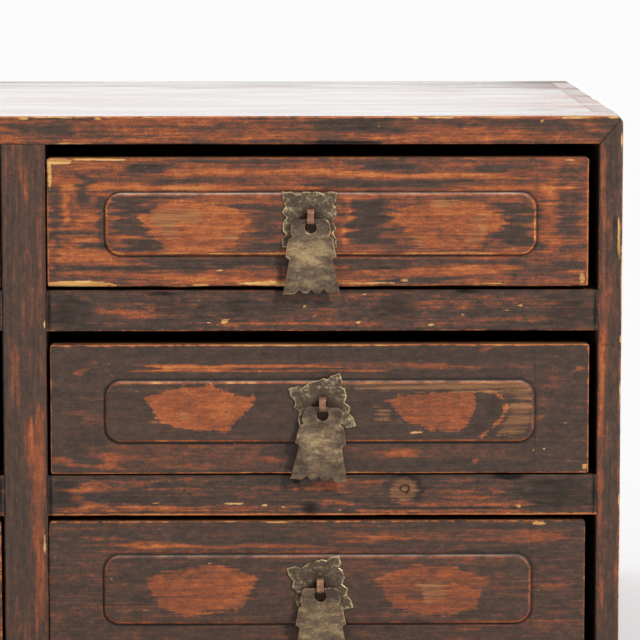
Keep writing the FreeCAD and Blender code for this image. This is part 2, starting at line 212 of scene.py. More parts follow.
def linear(hex_code):
    """sRGB hex to linear RGBA: below 0.04045 divide by 12.92, else the 2.4 power curve."""
    srgb = np.array([int(hex_code[i:i + 2], 16) for i in (1, 3, 5)]) / 255
    low = srgb / 12.92
    high = ((srgb + 0.055) / 1.055) ** 2.4
    return (*np.where(srgb <= 0.04045, low, high).tolist(), 1.0)


def add_node(tree, kind, inputs=None, out=0, stops=None, **settings):
    """Adds a node, sets its properties, colour stops and inputs, and returns one output.

    An input is a number, a colour, or the output of another node, which is linked to it.
    """
    node = tree.nodes.new("ShaderNode" + kind)
    for key, value in settings.items():
        setattr(node, key, value)
    if stops:
        ramp = node.color_ramp.elements
        while len(ramp) < len(stops):
            ramp.new(1.0)
        for element, (position, colour) in zip(ramp, stops):
            element.position = position
            element.color = linear(colour)
    for key, value in (inputs or {}).items():
        if isinstance(value, bpy.types.NodeSocket):
            tree.links.new(value, node.inputs[key])
        else:
            node.inputs[key].default_value = value
    return node.outputs[out] if node.outputs else node


def new_material(name):
    """A material without nodes, and its node tree."""
    material = bpy.data.materials.new(name)
    material.use_nodes = True
    material.node_tree.nodes.clear()
    return material, material.node_tree


# %% [markdown]
# ## Worn lacquer over softwood
#
# The chest is softwood under a thin coat of brown-black lacquer. Hands and drawers have
# rubbed the coat away in streaks that follow the grain, so the eye sees layers: dark
# lacquer, a red-brown stain that soaked into the wood, orange wood, and honey-coloured
# bare wood at the edges. One number says how deep the wear goes, and a colour ramp turns
# it into a layer. The mesh carries the slow part of that number and the material adds
# the fine part, because noise is sharp at any zoom and a mesh isn't. The attributes are:
# `worn`, the depth of wear; `streak`, how strongly the grain shows in it; `mottled`, how
# strongly short mottles do; `edge`, how many millimetres a place is inside the rubbed
# strip of an edge; `patch` and `patch_worn`, the same for a bald patch, and its depth of
# wear; `rim` and `from_panel`, for the line along a raised panel; `tan`, wood that greyed
# after it was bared; `soot`, dirt together with painted shade in the groove round
# a panel, under a front, at the ends and tops of the rails and along the post; `chip`, a
# fresh splinter; and `gleam`, a pale line painted along the upward-facing top
# shoulder of a panel where a highlight would fall.

# %% Colours and noises of lacquered wood
WEAR_MAPS = (
    "worn", "streak", "mottled", "edge", "patch", "patch_worn", "rim", "from_panel", "tan", "soot",
    "chip", "gleam")
LACQUER_LAYERS = [
    (0.00, "#33251c"), (0.25, "#463830"), (0.42, "#533e33"), (0.51, "#6a4434"),
    (0.62, "#884c32"), (0.75, "#a55932"), (0.88, "#c0713c"), (1.00, "#d8a05c")]
FRESH_WOOD = [(0.34, "#a36a38"), (0.50, "#d89f58"), (0.66, "#f0c986")]
TAN_WOOD = [(0.36, "#644433"), (0.50, "#966641"), (0.64, "#bb8755")]
# Pale colour of the painted highlight along a panel's top shoulder.
PAINTED_HIGHLIGHT_COLOUR = "#cbbdae"
# Dark cover for dirt, and for painted shade in grooves, under fronts, at rail ends and along the post.
DIRT_AND_SHADE_COLOUR = "#120c0a"
WOOD_IOR, WOOD_SPECULAR = 1.5, 0.3
LACQUER_NOISES = {
    # times longer along the grain, size across it in mm, detail, roughness, distortion
    "broad": (10, 4.0, 5.0, 0.68, 0.5),     # streaks as wide as a finger's rub
    "fine": (26, 1.35, 5.0, 0.74, 0.2),     # streaks, one for each ring of the wood
    "mottle": (2.5, 2.4, 5.0, 0.72, 0.4),
    "blotch": (1, 12.0, 6.0, 0.7, 0.0),
    "speck": (1, 0.7, 3.0, 0.75, 0.0),
    "nibble": (1, 4.0, 6.0, 0.75, 0.0),     # what makes every border ragged
}
MOTTLE, SPECK = 0.55, 0.3       # how much mottles and specks add to the depth of wear
MOST_RUBBED, EASED = 0.9, 0.2   # rubbing alone stops at orange wood
LINE_INSIDE = 0.8               # from a panel's outline in to the middle of its line
GREYED = 0.62                   # how far greyed wood hides the layers
DIRT_AND_SHADE_ROUGHNESS = 0.7
COAT = 0.0003                   # height of the coat over bare wood, in metres


def drawn_out(grain, times):
    """Scale from metres to millimetres, this many times less along the grain's axis."""
    return [1000 / times if axis == grain else 1000 for axis in "xyz"]


def with_noises(tree, field, noises):
    """The field plus its share of each noise, less the noises' averages, which are a half."""
    average = sum(share for wave, share in noises) / 2
    total = add_node(tree, "Math", {0: field, 1: average}, operation="SUBTRACT")
    for wave, share in noises:
        total = add_node(tree, "Math", {0: wave, 1: share, 2: total}, operation="MULTIPLY_ADD")
    return total


def inside_strip(tree, field, noises, low, high):
    """0 to 1 as the field with its noises goes from low to high."""
    noisy = with_noises(tree, field, noises)
    return add_node(tree, "MapRange", {"Value": noisy, "From Min": low, "From Max": high})


# %% Depth of wear
def lacquer_fields(tree, grain):
    """The mesh's maps of wear and the noises along the grain, each under its own name."""
    fields = {key: add_node(tree, "Attribute", out="Fac", attribute_name=key) for key in WEAR_MAPS}
    place = add_node(tree, "TexCoord", out="Object")
    for key, (times, size, detail, roughness, distortion) in LACQUER_NOISES.items():
        drawn = add_node(tree, "Mapping", {"Vector": place, "Scale": drawn_out(grain, times)})
        fields[key] = add_node(tree, "TexNoise", {
            "Vector": drawn, "Scale": 1 / size, "Detail": detail, "Roughness": roughness,
            "Distortion": distortion})
    return SimpleNamespace(**fields)


def rubbed_level(tree, field, pattern):
    """Depth of wear on the flats: the map of wear plus streaks and mottles."""
    # In a bald patch the wear is deep and more even, and streaks comb its border.
    comb = with_noises(tree, 0.0, ((field.fine, 16.0),))
    border = add_node(tree, "Math", {0: comb, 1: field.streak, 2: field.patch}, operation="MULTIPLY_ADD")
    bald = inside_strip(tree, border, ((field.nibble, 5.0), (field.speck, 2.0)), -0.3, 0.3)
    base = add_node(tree, "Mix", {"Factor": bald, NUMBER_A: field.worn, NUMBER_B: field.patch_worn})
    calm = add_node(tree, "MapRange", {"Value": bald, "To Min": 1.0, "To Max": 0.85})
    calm = add_node(tree, "Math", {0: field.streak, 1: calm}, operation="MULTIPLY")
    level = add_node(tree, "Math", {0: pattern, 1: calm, 2: base}, operation="MULTIPLY_ADD")
    mottling = with_noises(tree, 0.0, ((field.mottle, MOTTLE), (field.speck, SPECK)))
    level = add_node(tree, "Math", {0: mottling, 1: field.mottled, 2: level}, operation="MULTIPLY_ADD")
    return add_node(tree, "Math", {0: level, 1: MOST_RUBBED, 2: EASED}, operation="SMOOTH_MIN")


def with_edges(tree, field, pattern, level):
    """The depth of wear with the rubbed edges and the line along a raised panel in it."""
    # A rubbed edge is bared nearly to the wood, in a strip that narrows and widens.
    bare = inside_strip(tree, field.edge, ((field.nibble, 2.2), (field.fine, 0.8)), 0.0, 0.35)
    bare_level = add_node(tree, "Math", {0: pattern, 1: 0.4, 2: 0.86}, operation="MULTIPLY_ADD")
    level = add_node(tree, "Mix", {"Factor": bare, NUMBER_A: level, NUMBER_B: bare_level})
    # The line along a panel is about 1 mm wide, and rubbed more in some places.
    off_line = add_node(tree, "Math", {0: field.from_panel, 1: LINE_INSIDE}, operation="ADD")
    off_line = add_node(tree, "Math", {0: off_line}, operation="ABSOLUTE")
    line = add_node(tree, "MapRange", {
        "Value": off_line, "From Min": 0.25, "From Max": 0.75, "To Min": 1.0, "To Max": 0.0})
    rubbed = add_node(tree, "MapRange", {
        "Value": field.blotch, "From Min": 0.38, "From Max": 0.62, "To Min": 0.45, "To Max": 1.15})
    line = add_node(tree, "Math", {0: line, 1: rubbed}, operation="MULTIPLY")
    return add_node(tree, "Math", {0: line, 1: field.rim, 2: level}, operation="MULTIPLY_ADD")


# %% Lacquer material
def lacquer_colour(tree, field, level, grime_and_shade):
    """Colour of the layer that the wear has reached, with what lies on it."""
    layers = add_node(tree, "ValToRGB", {"Fac": level}, stops=LACQUER_LAYERS)
    # Dust, dents and old polish make any layer a little lighter or darker.
    shade = with_noises(tree, 1.0, ((field.nibble, 0.8), (field.speck, 0.9), (field.mottle, 0.7)))
    colour = add_node(tree, "Mix", {"Factor": 1.0, COLOUR_A: layers, COLOUR_B: shade},
                      out=MIXED_COLOUR, data_type="RGBA", blend_type="MULTIPLY")
    # Over the layers come greyed wood, splinters, a painted highlight, and dirt with painted shade, each
    # in its own colour.
    greyed = inside_strip(
        tree, field.tan, ((field.nibble, 8.0), (field.fine, 12.0), (field.speck, 4.0)), -0.6, 0.9)
    greyed = add_node(tree, "Math", {0: greyed, 1: GREYED}, operation="MULTIPLY")
    splinter = inside_strip(
        tree, field.chip, ((field.nibble, 1.6), (field.fine, 1.2), (field.speck, 0.9)), 0.4, 0.65)
    # Painted highlight: a pale line along a panel's upward-facing top shoulder, broken up by blotches.
    painted_highlight_share = add_node(tree, "MapRange", {
        "Value": field.blotch, "From Min": 0.4, "From Max": 0.6, "To Min": 0.3})
    painted_highlight_share = add_node(tree, "Math", {0: field.gleam, 1: painted_highlight_share}, operation="MULTIPLY")
    for share, cover in (
        (greyed, add_node(tree, "ValToRGB", {"Fac": field.fine}, stops=TAN_WOOD)),
        (splinter, add_node(tree, "ValToRGB", {"Fac": field.fine}, stops=FRESH_WOOD)),
        (painted_highlight_share, linear(PAINTED_HIGHLIGHT_COLOUR)),
        (grime_and_shade, linear(DIRT_AND_SHADE_COLOUR)),
    ):
        colour = add_node(tree, "Mix", {"Factor": share, COLOUR_A: colour, COLOUR_B: cover},
                          out=MIXED_COLOUR, data_type="RGBA")
    return colour


def lacquer(name, grain, rough_coat, rough_wood, relief):
    """Lacquered softwood with its grain along one axis, in the layers that wear lays bare."""
    material, tree = new_material(name)
    field = lacquer_fields(tree, grain)
    pattern = with_noises(tree, 0.0, ((field.broad, 0.75), (field.fine, 1.25), (field.blotch, 0.45)))
    level = with_edges(tree, field, pattern, rubbed_level(tree, field, pattern))
    # Dirt and painted shade: one dark, rough cover over the layers.
    grime_and_shade = inside_strip(tree, field.soot, ((field.speck, 0.8), (field.nibble, 0.5)), 0.15, 0.85)
    colour = lacquer_colour(tree, field, level, grime_and_shade)
    rough = add_node(tree, "MapRange", {
        "Value": level, "From Min": 0.3, "From Max": 0.8, "To Min": rough_coat, "To Max": rough_wood})
    rough = add_node(tree, "Mix", {"Factor": grime_and_shade, NUMBER_A: rough, NUMBER_B: DIRT_AND_SHADE_ROUGHNESS})
    depth = add_node(tree, "Math", {0: field.fine, 1: 0.7, 2: level}, operation="MULTIPLY_ADD")
    normal = add_node(tree, "Bump", {
        "Height": depth, "Strength": relief, "Distance": COAT}, invert=True)
    shader = add_node(tree, "BsdfPrincipled", {
        "Base Color": colour, "Roughness": rough, "Normal": normal,
        "IOR": WOOD_IOR, "Specular IOR Level": WOOD_SPECULAR})
    add_node(tree, "OutputMaterial", {"Surface": shader})
    return material


lacquer_x = lacquer("worn brown-black lacquer, grain left to right", "x", 0.4, 0.6, 0.4)
lacquer_z = lacquer("worn brown-black lacquer, grain upright", "z", 0.4, 0.6, 0.4)
top_lacquer = lacquer("lacquer polished by dusting, grain left to right", "x", 0.2, 0.32, 0.03)
print("lacquers:", lacquer_x.name, "and", lacquer_z.name, "and", top_lacquer.name)

# %% [markdown]
# ## Bare softwood
#
# Inside, nobody lacquered the boards. Planed softwood goes honey brown and then grey with
# dust. Dark late-wood lines run along the grain a few millimetres apart.

# %% Raw wood material
RING_COUNT = 11.0               # rings between the lowest and the highest place of the noise
DRAWER_TONE = ("#6b4a2f", "#8d6a45", "#a98358")
INNER_TONE = ("#38281d", "#5a402b", "#745539")
OTHER_TONE = ("#35261c", "#553c2a", "#6d4f36")


def raw_softwood(name, grain, tone, aside=0.0):
    """Planed softwood: each ring darkens slowly to its late wood and ends sharply.

    The rings are the fraction of a number of times a noise that is drawn out along the
    grain; its cube keeps the dark part narrow. The pattern is moved aside, so that boards
    differ.
    """
    material, tree = new_material(name)
    place = add_node(tree, "TexCoord", out="Object")
    drawn = add_node(tree, "Mapping", {
        "Vector": place, "Location": (aside,) * 3, "Scale": drawn_out(grain, 14)})
    # Hills of the noise are 22 mm apart, fibres 0.8 mm, and dust lies in 40 mm clouds.
    hills = add_node(tree, "TexNoise", {
        "Vector": drawn, "Scale": 1 / 22.0, "Detail": 2.0, "Roughness": 0.4, "Distortion": 0.3})
    fibres = add_node(tree, "TexNoise", {
        "Vector": drawn, "Scale": 1 / 0.8, "Detail": 4.0, "Roughness": 0.7})
    dust = add_node(tree, "TexNoise", {
        "Vector": place, "Scale": 1 / 0.04, "Detail": 5.0, "Roughness": 0.6})
    ring = add_node(tree, "Math", {0: hills, 1: RING_COUNT}, operation="MULTIPLY")
    ring = add_node(tree, "Math", {0: ring}, operation="FRACT")
    late = add_node(tree, "Math", {0: ring, 1: 3.0}, operation="POWER")
    fibred = with_noises(tree, 0.76, ((fibres, 1.0),))
    lines = add_node(tree, "Math", {0: late, 1: -0.28, 2: fibred}, operation="MULTIPLY_ADD")
    colour = add_node(tree, "ValToRGB", {"Fac": lines}, stops=[
        (0.45, tone[0]), (0.68, tone[1]), (0.90, tone[2])])
    grey = add_node(tree, "MapRange", {
        "Value": dust, "From Min": 0.4, "From Max": 0.7, "To Min": 0.1, "To Max": 0.7})
    dusty = add_node(tree, "Mix", {"Factor": grey, COLOUR_A: colour, COLOUR_B: linear(tone[0])},
                     out=MIXED_COLOUR, data_type="RGBA")
    normal = add_node(tree, "Bump", {"Height": lines, "Strength": 0.4, "Distance": 0.0002})
    shader = add_node(tree, "BsdfPrincipled", {
        "Base Color": dusty, "Roughness": 0.75, "Normal": normal,
        "IOR": WOOD_IOR, "Specular IOR Level": WOOD_SPECULAR})
    add_node(tree, "OutputMaterial", {"Surface": shader})
    return material


raw_x = raw_softwood("planed softwood, grain left to right", "x", DRAWER_TONE)
raw_y = raw_softwood("planed softwood, grain front to back", "y", DRAWER_TONE)
inner_x_wood = raw_softwood("dusty softwood, grain left to right", "x", INNER_TONE)
inner_x_other = raw_softwood("dusty softwood of another tree", "x", OTHER_TONE, 77.0)
inner_y_wood = raw_softwood("dusty softwood, grain front to back", "y", INNER_TONE)
inner_z_wood = raw_softwood("dusty softwood, grain upright", "z", INNER_TONE)
print("bare woods, new ones", DRAWER_TONE, "and dusty ones", INNER_TONE)

# %% [markdown]
# ## Wear as a map
#
# Where the lacquer is rubbed is not chance: it is where drawers are pulled, where edges
# are touched and where the board was scraped. Each board has a list of smears. A smear is
# a soft bar along the grain, with its middle, half length and half height in millimetres
# and the depth of wear that it adds; a negative depth is lacquer that stayed thick. Its
# ends are combed out, because every fibre is worn for a different length. Flecks, which
# mark chips, dirt and painted shade, have the same four sizes but taper like a splinter.

# %% Wear helpers
SMEAR_STRENGTH = 1.1        # one handle for how deep all the smears go


def smeared(along, across, marks, seed):
    """Sum of the bars, each 1 inside and 0 outside times its depth and the strength.

    The overshoot past a bar is measured in units of its softness, which is its half size,
    but at most 4 mm along the grain and 1.2 mm across it. A noise of the place across the
    grain alone shifts each fibre along it, and another noise moves the border.
    """
    comb = 26 * (noise(across, 1.6, seed + 1) - 0.5) + 16 * (noise(across, 4.0, seed + 2) - 0.5)
    wobble = 0.9 * (noise(np.stack([along / 8, across], 1), 1.4, seed) - 0.5)
    total = np.zeros(len(along))
    for middle, height, half_length, half_height, depth in marks:
        shifted = along - middle + comb * min(1.0, half_length / 12)
        over = np.maximum((np.abs(shifted) - half_length) / min(half_length, 4.0),
                          (np.abs(across - height) - half_height) / min(half_height, 1.2))
        total += depth * np.clip(0.5 - over + wobble, 0, 1)
    return SMEAR_STRENGTH * total


def flecked(along, across, marks, seed):
    """The strongest fleck at each place; it is 1 at its middle, 0.5 at its half sizes.

    The distance to the middle is in units of the half sizes, and the strength falls
    evenly with it.
    """
    wobble = 0.4 * (noise(np.stack([along / 3, across], 1), 1.2, seed) - 0.5)
    strongest = np.zeros(len(along))
    for middle, height, half_length, half_height, *depth in marks:
        far = np.hypot((along - middle) / half_length, (across - height) / half_height)
        strength = np.clip(1.25 - 0.75 * far + wobble, 0, 1) * (depth or [1.0])[0]
        strongest = np.maximum(strongest, strength)
    return strongest


# %% Patches with an outline
def inside_polygon(along, across, corners):
    """Signed distance to a polygon, negative inside.

    The distance is the least one to any side; the sign is whether the number of sides
    that a ray to the right crosses is odd.
    """
    corners = np.array(corners, float)
    distance = np.full(len(along), 1e9)
    odd = np.zeros(len(along), bool)
    for a, b in zip(corners, np.roll(corners, -1, 0)):
        side = b - a
        share = ((along - a[0]) * side[0] + (across - a[1]) * side[1]) / (side @ side)
        share = np.clip(share, 0, 1)
        gap = np.hypot(along - a[0] - share * side[0], across - a[1] - share * side[1])
        distance = np.minimum(distance, gap)
        if side[1] != 0:
            crossed = (across < a[1]) != (across < b[1])
            odd ^= crossed & (along < a[0] + (across - a[1]) / side[1] * side[0])
    return np.where(odd, -distance, distance)


def within(along, across, patches):
    """Millimetres inside the nearest of the polygons, and that polygon's value.

    A place outside them all gets a negative number.
    """
    depth = np.full(len(along), -9.0)
    value = np.zeros(len(along))
    for corners, amount in patches:
        inside = -inside_polygon(along, across, corners)
        value = np.where(inside > depth, amount, value)
        depth = np.maximum(depth, inside)
    return depth, value


# %% Edges and stray marks
def rubbed_edges(points, edges):
    """Millimetres inside the rubbed strip of the nearest edge; negative is outside.

    An edge is its two axes across, its place on them, and the width of its strip on the
    face. The distance is the larger of the two steps from the edge to the point.
    """
    inside = np.full(len(points), -10.0)
    for across, corner, width in edges:
        distance = np.abs(points[:, across] - corner).max(1)
        inside = np.maximum(inside, width - distance)
    return inside


def stray_chips(seed, count, half_length, half_height):
    """Specks of bare wood scattered over a board, 0.5 to 2 mm long."""
    rng = np.random.default_rng(seed)
    return [
        (
            rng.uniform(-half_length, half_length), rng.uniform(-half_height, half_height),
            rng.uniform(0.25, 1.0), rng.uniform(0.2, 0.33), rng.uniform(0.5, 0.9),
        )
        for _ in range(count)
    ]


def stray_smears(seed, count, half_length, half_height, depth):
    """Smears scattered over a board by chance, with the same chance each time."""
    rng = np.random.default_rng(seed)
    return [
        (
            rng.uniform(-half_length, half_length), rng.uniform(-half_height, half_height),
            rng.uniform(10, 50), rng.uniform(0.8, 3.0), depth * rng.uniform(-0.6, 1.0),
        )
        for _ in range(count)
    ]


# %% [markdown]
# ## The case: four boards that hold each other
#
# The corners of the case are the joiner's showpiece: mitred at the front, so that no end
# grain faces the room, and through-dovetailed behind. The tails are on the side boards.
# Seen on the outer side they flare towards the top, so the joint can't be pulled apart.
# Both boards start as plain lattices. One formula tells where a board ends, and another
# leans the joint's walls, so the two boards meet without either being cut by the other.

# %% Case sizes
top_lo, top_hi = box_mm("top_board")
side_lo = box_mm("right_side")[0]
post_lo, post_hi = box_mm("post")
OUTER_X = top_hi[0]
INNER_X = side_lo[0]
FRONT_Y, BACK_Y = top_lo[1], top_hi[1]
HEIGHT = top_hi[2]
THICK = 14.0                # of the top and bottom boards
TOP_UNDER = HEIGHT - THICK
MITRE_DEPTH = 14.0          # from the front back to the dovetails
TAILS = 4
PIN = 20.0                  # width of a pin at the outer face
TAIL_LEAN = THICK / 6.0     # the joint's walls lean one in six over a board's thickness
SEAM = 0.1                  # half the gap of a joint
STRETCH = 20.0              # how much of a board, next to its joint, is stretched to its end
NEAR_FRONT = 0.8            # a place this close to the front is on the front edge
LACQUER_INSIDE = 6.0        # how far back the lacquer goes on the inner faces

tail_width = (BACK_Y - FRONT_Y - MITRE_DEPTH - (TAILS + 1) * PIN) / TAILS
tail_starts = FRONT_Y + MITRE_DEPTH + PIN + np.arange(TAILS) * (tail_width + PIN)
tail_ends = tail_starts + tail_width
joint_walls = np.sort(np.concatenate([tail_starts, tail_ends]))
print("tails start at", tail_starts.round(1), "and are", round(tail_width, 1), "mm wide")


# %% Joint formulas
def joint_columns():
    """Divisions front to back: fine at the front edge, and a close pair at each wall."""
    walls = np.concatenate([[FRONT_Y + MITRE_DEPTH], joint_walls])
    close = [walls - SEAM, walls + SEAM, walls - 8 * SEAM, walls + 8 * SEAM]
    base = divide(FRONT_Y, BACK_Y, 9.0, 0.5, (FRONT_Y, BACK_Y), 4.0)
    clear = np.abs(base[:, None] - walls).min(1) > 12 * SEAM
    return np.sort(np.concatenate([base[clear], *close]))


def joint_zone(y):
    """True in the mitre zone, and True inside a tail, for places front to back."""
    mitre = y < FRONT_Y + MITRE_DEPTH
    tail = np.zeros(len(y), bool)
    for start, end in zip(tail_starts, tail_ends):
        tail |= (y > start) & (y < end)
    return mitre, tail


def stretch_ends(places, full, start, end):
    """Stretches what lies past the start, on both sides of zero, so that full becomes end.

    A place keeps its share of the way from the start.
    """
    reach = np.abs(places)
    share = (reach - start) / (full - start)
    return np.sign(places) * np.where(reach > start, start + share * (end - start), reach)


def lean_walls(points):
    """Leans the joint's walls: a tail narrows towards the inside of the case."""
    edges = np.concatenate([[FRONT_Y], joint_walls, [BACK_Y]])
    signs = np.concatenate([[0.0], np.tile([1.0, -1.0], TAILS), [0.0]])
    down = np.minimum(points[:, 2], HEIGHT - points[:, 2]) / (HEIGHT - TOP_UNDER)
    points[:, 1] += np.interp(points[:, 1], edges, signs) * TAIL_LEAN * np.clip(down, 0, 1)


def joint_soot(points, ends):
    """Dirt in the seams: full at the walls and board ends, none a millimetre away."""
    walls = np.concatenate([[FRONT_Y + MITRE_DEPTH], joint_walls])
    seam = np.abs(points[:, 1][:, None] - walls).min(1)
    corner = (np.abs(points[:, 0]) > INNER_X - 1) & (
        np.minimum(points[:, 2], HEIGHT - points[:, 2]) < HEIGHT - TOP_UNDER + 1)
    across = np.where((points[:, 1] > FRONT_Y + MITRE_DEPTH - 1) & corner, seam, 9.0)
    return 0.85 * np.clip(1 - np.minimum(across, ends) / 0.8, 0, 1)


# %% [markdown]
# The outer edges of the case are rounded most at the corners, where the chest was
# gripped. Both boards of a corner use the same formula and the same chance, so that the
# round runs on across the seam.

# %% Rounding the case
def round_case(points):
    """Rounds the outer edges of the case: those that were gripped most, the back ones least."""
    x, y, z = points.T
    for side in (-1, 1):
        grip = ragged(y, 2.4, 5.0, 40 + side) + 1.6 * np.exp(-((y - FRONT_Y) / 22) ** 2)
        for level, up in ((0.0, 1), (HEIGHT, -1)):
            wear_round(points, [0, 2], (side * OUTER_X, level), (-side, up), grip)
        wear_round(points, [0, 1], (side * OUTER_X, FRONT_Y), (-side, 1), ragged(z, 1.2, 3.6, 50 + side))
        wear_round(points, [0, 1], (side * OUTER_X, BACK_Y), (-side, -1), 1.0)
    wear_round(points, [1, 2], (FRONT_Y, HEIGHT), (1, -1), ragged(x, 0.9, 2.6, 60))
    wear_round(points, [1, 2], (FRONT_Y, 0.0), (1, 1), ragged(x, 0.9, 2.6, 61))
    wear_round(points, [1, 2], (BACK_Y, HEIGHT), (-1, -1), 1.0)
    wear_round(points, [1, 2], (BACK_Y, 0.0), (-1, 1), 1.0)


# %% Top and bottom boards
def dirt_on_top(x, y, ends, clouds, seed):
    """Dirt of the upper face: clouds at the back and the ends, and lines along the grain."""
    lines = noise(np.stack([x / 25, y], 1), 1.5, seed)
    dull = (0.26 * np.clip((y - 40) / 90, 0, 1) + 0.16 * ends) * (0.6 + 0.8 * clouds)
    return dull + (0.03 + 0.2 * ends) * np.clip((lines - 0.7) / 0.2, 0, 1)


def flat_board(name, top, marks, seed):
    """The top board, or the bottom board as its mirror image."""
    xs = divide(-OUTER_X, OUTER_X, 2.25, 0.6, (-OUTER_X, OUTER_X), 4.0)
    zs = divide(TOP_UNDER, HEIGHT, 2.0, 0.5, (TOP_UNDER, HEIGHT), 3.0)
    points, quads = lattice_skin(xs, joint_columns(), zs)
    mitre, tail = joint_zone(points[:, 1])
    slope = (points[:, 2] - TOP_UNDER) / (HEIGHT - TOP_UNDER)
    end = np.where(mitre, INNER_X + slope * (OUTER_X - INNER_X), OUTER_X)
    end = np.where(tail, INNER_X, end)
    points[:, 0] = stretch_ends(points[:, 0], OUTER_X, INNER_X - STRETCH, end)
    lean_walls(points)
    from_end = end - np.abs(points[:, 0])
    soot = joint_soot(points, np.where(mitre | tail, from_end, 9.0))
    wear_round(points, [1, 2], (FRONT_Y, TOP_UNDER), (1, 1), ragged(points[:, 0], 0.5, 1.4, seed))
    round_case(points)
    x, y, z = points.T
    front = y < FRONT_Y + NEAR_FRONT
    along, height = x, z - (HEIGHT + TOP_UNDER) / 2
    clouds = noise(np.stack([x / 3, y], 1), 14.0, seed + 3)
    ends = np.clip((np.abs(x) - 190) / 90, 0, 1)
    upper = z > HEIGHT - 0.5
    dull = dirt_on_top(x, y, ends, clouds, seed + 4)
    chips = marks["chips"] + stray_chips(seed, 9, 290, 6)
    fields = {
        "worn": np.where(front, marks["base"] + smeared(along, height, marks["smears"], seed),
                         0.28 + 0.25 * clouds + 0.15 * ends * clouds),
        "streak": np.where(front, marks["streak"], 0.35),
        "edge": rubbed_edges(points, [
            ([1, 2], (FRONT_Y, HEIGHT), 1.0), ([1, 2], (FRONT_Y, TOP_UNDER), 0.3),
            ([0, 2], (OUTER_X, HEIGHT), 0.8), ([0, 2], (-OUTER_X, HEIGHT), 0.8)]),
        "soot": np.maximum(np.maximum(soot, upper * dull),
                           front * flecked(along, height, marks["dirt_and_shade"], seed + 5)),
        "chip": front * flecked(along, height, chips, seed + 7),
        "mottled": np.where(front, 1.2, 0.6),
    }
    under = (z < TOP_UNDER + 0.05) & (y > FRONT_Y + LACQUER_INSIDE)
    if not top:
        points[:, 2] = HEIGHT - points[:, 2]
        quads = quads[:, ::-1]
    which = np.where(under[quads].all(1), 1, np.where(upper[quads].all(1), 2, 0))
    print(name, len(points), "points")
    return add_piece(name, points, quads, "case", ["top_board" if top else "bottom_board"],
                     [lacquer_x, inner_x_wood, top_lacquer], fields, which)


# %% Marks of the top and bottom boards
TOP_MARKS = dict(
    base=0.53, streak=0.85,
    smears=[
        # middle, height, half length, half height, depth
        (160, 2.5, 17, 3.5, -0.22), (292, 0, 8, 7, -0.12), (60, 4.0, 60, 1.2, 0.12),
        (10, 2, 16, 4.0, -0.12), (230, -3.5, 50, 2.0, 0.12), (110, -3.0, 40, 1.5, 0.12),
        (245, 3.5, 30, 1.5, -0.15), (30, -5.5, 40, 1.0, 0.1), (-150, 1.0, 60, 2.0, 0.1),
        (-220, -3.0, 40, 2.0, -0.15),
    ],
    chips=[
        (0.2, 6.0, 3, 0.6), (20, 6.4, 14, 0.5, 0.8), (37.8, 5.8, 2, 0.6), (63, 6.5, 2.5, 0.4),
        (195.5, 5.6, 2.5, 0.9), (210, 6.3, 9, 0.5, 0.8), (258, 4.6, 1.4, 0.6), (275, 6.3, 7, 0.5),
        (294, 6.3, 2, 0.6), (25, -6.4, 12, 0.4), (-80, 6.2, 3, 0.6), (-190, 6.0, 4, 0.6),
        (-260, -6.0, 5, 0.5),
    ],
    dirt_and_shade=[(160, -6.1, 17, 0.7, 1.2), (150, -5.5, 5, 0.5), (75, -6.8, 30, 0.3, 0.9)],
)
BOTTOM_MARKS = dict(base=0.5, streak=0.85, smears=stray_smears(7, 14, 290, 6, 0.2),
                    chips=[(-120, 5.5, 4, 0.6), (60, -5.5, 3, 0.6), (210, 5.8, 5, 0.5)], dirt_and_shade=[])
flat_board("worn_top_board", True, TOP_MARKS, 101)
flat_board("worn_bottom_board", False, BOTTOM_MARKS, 121)


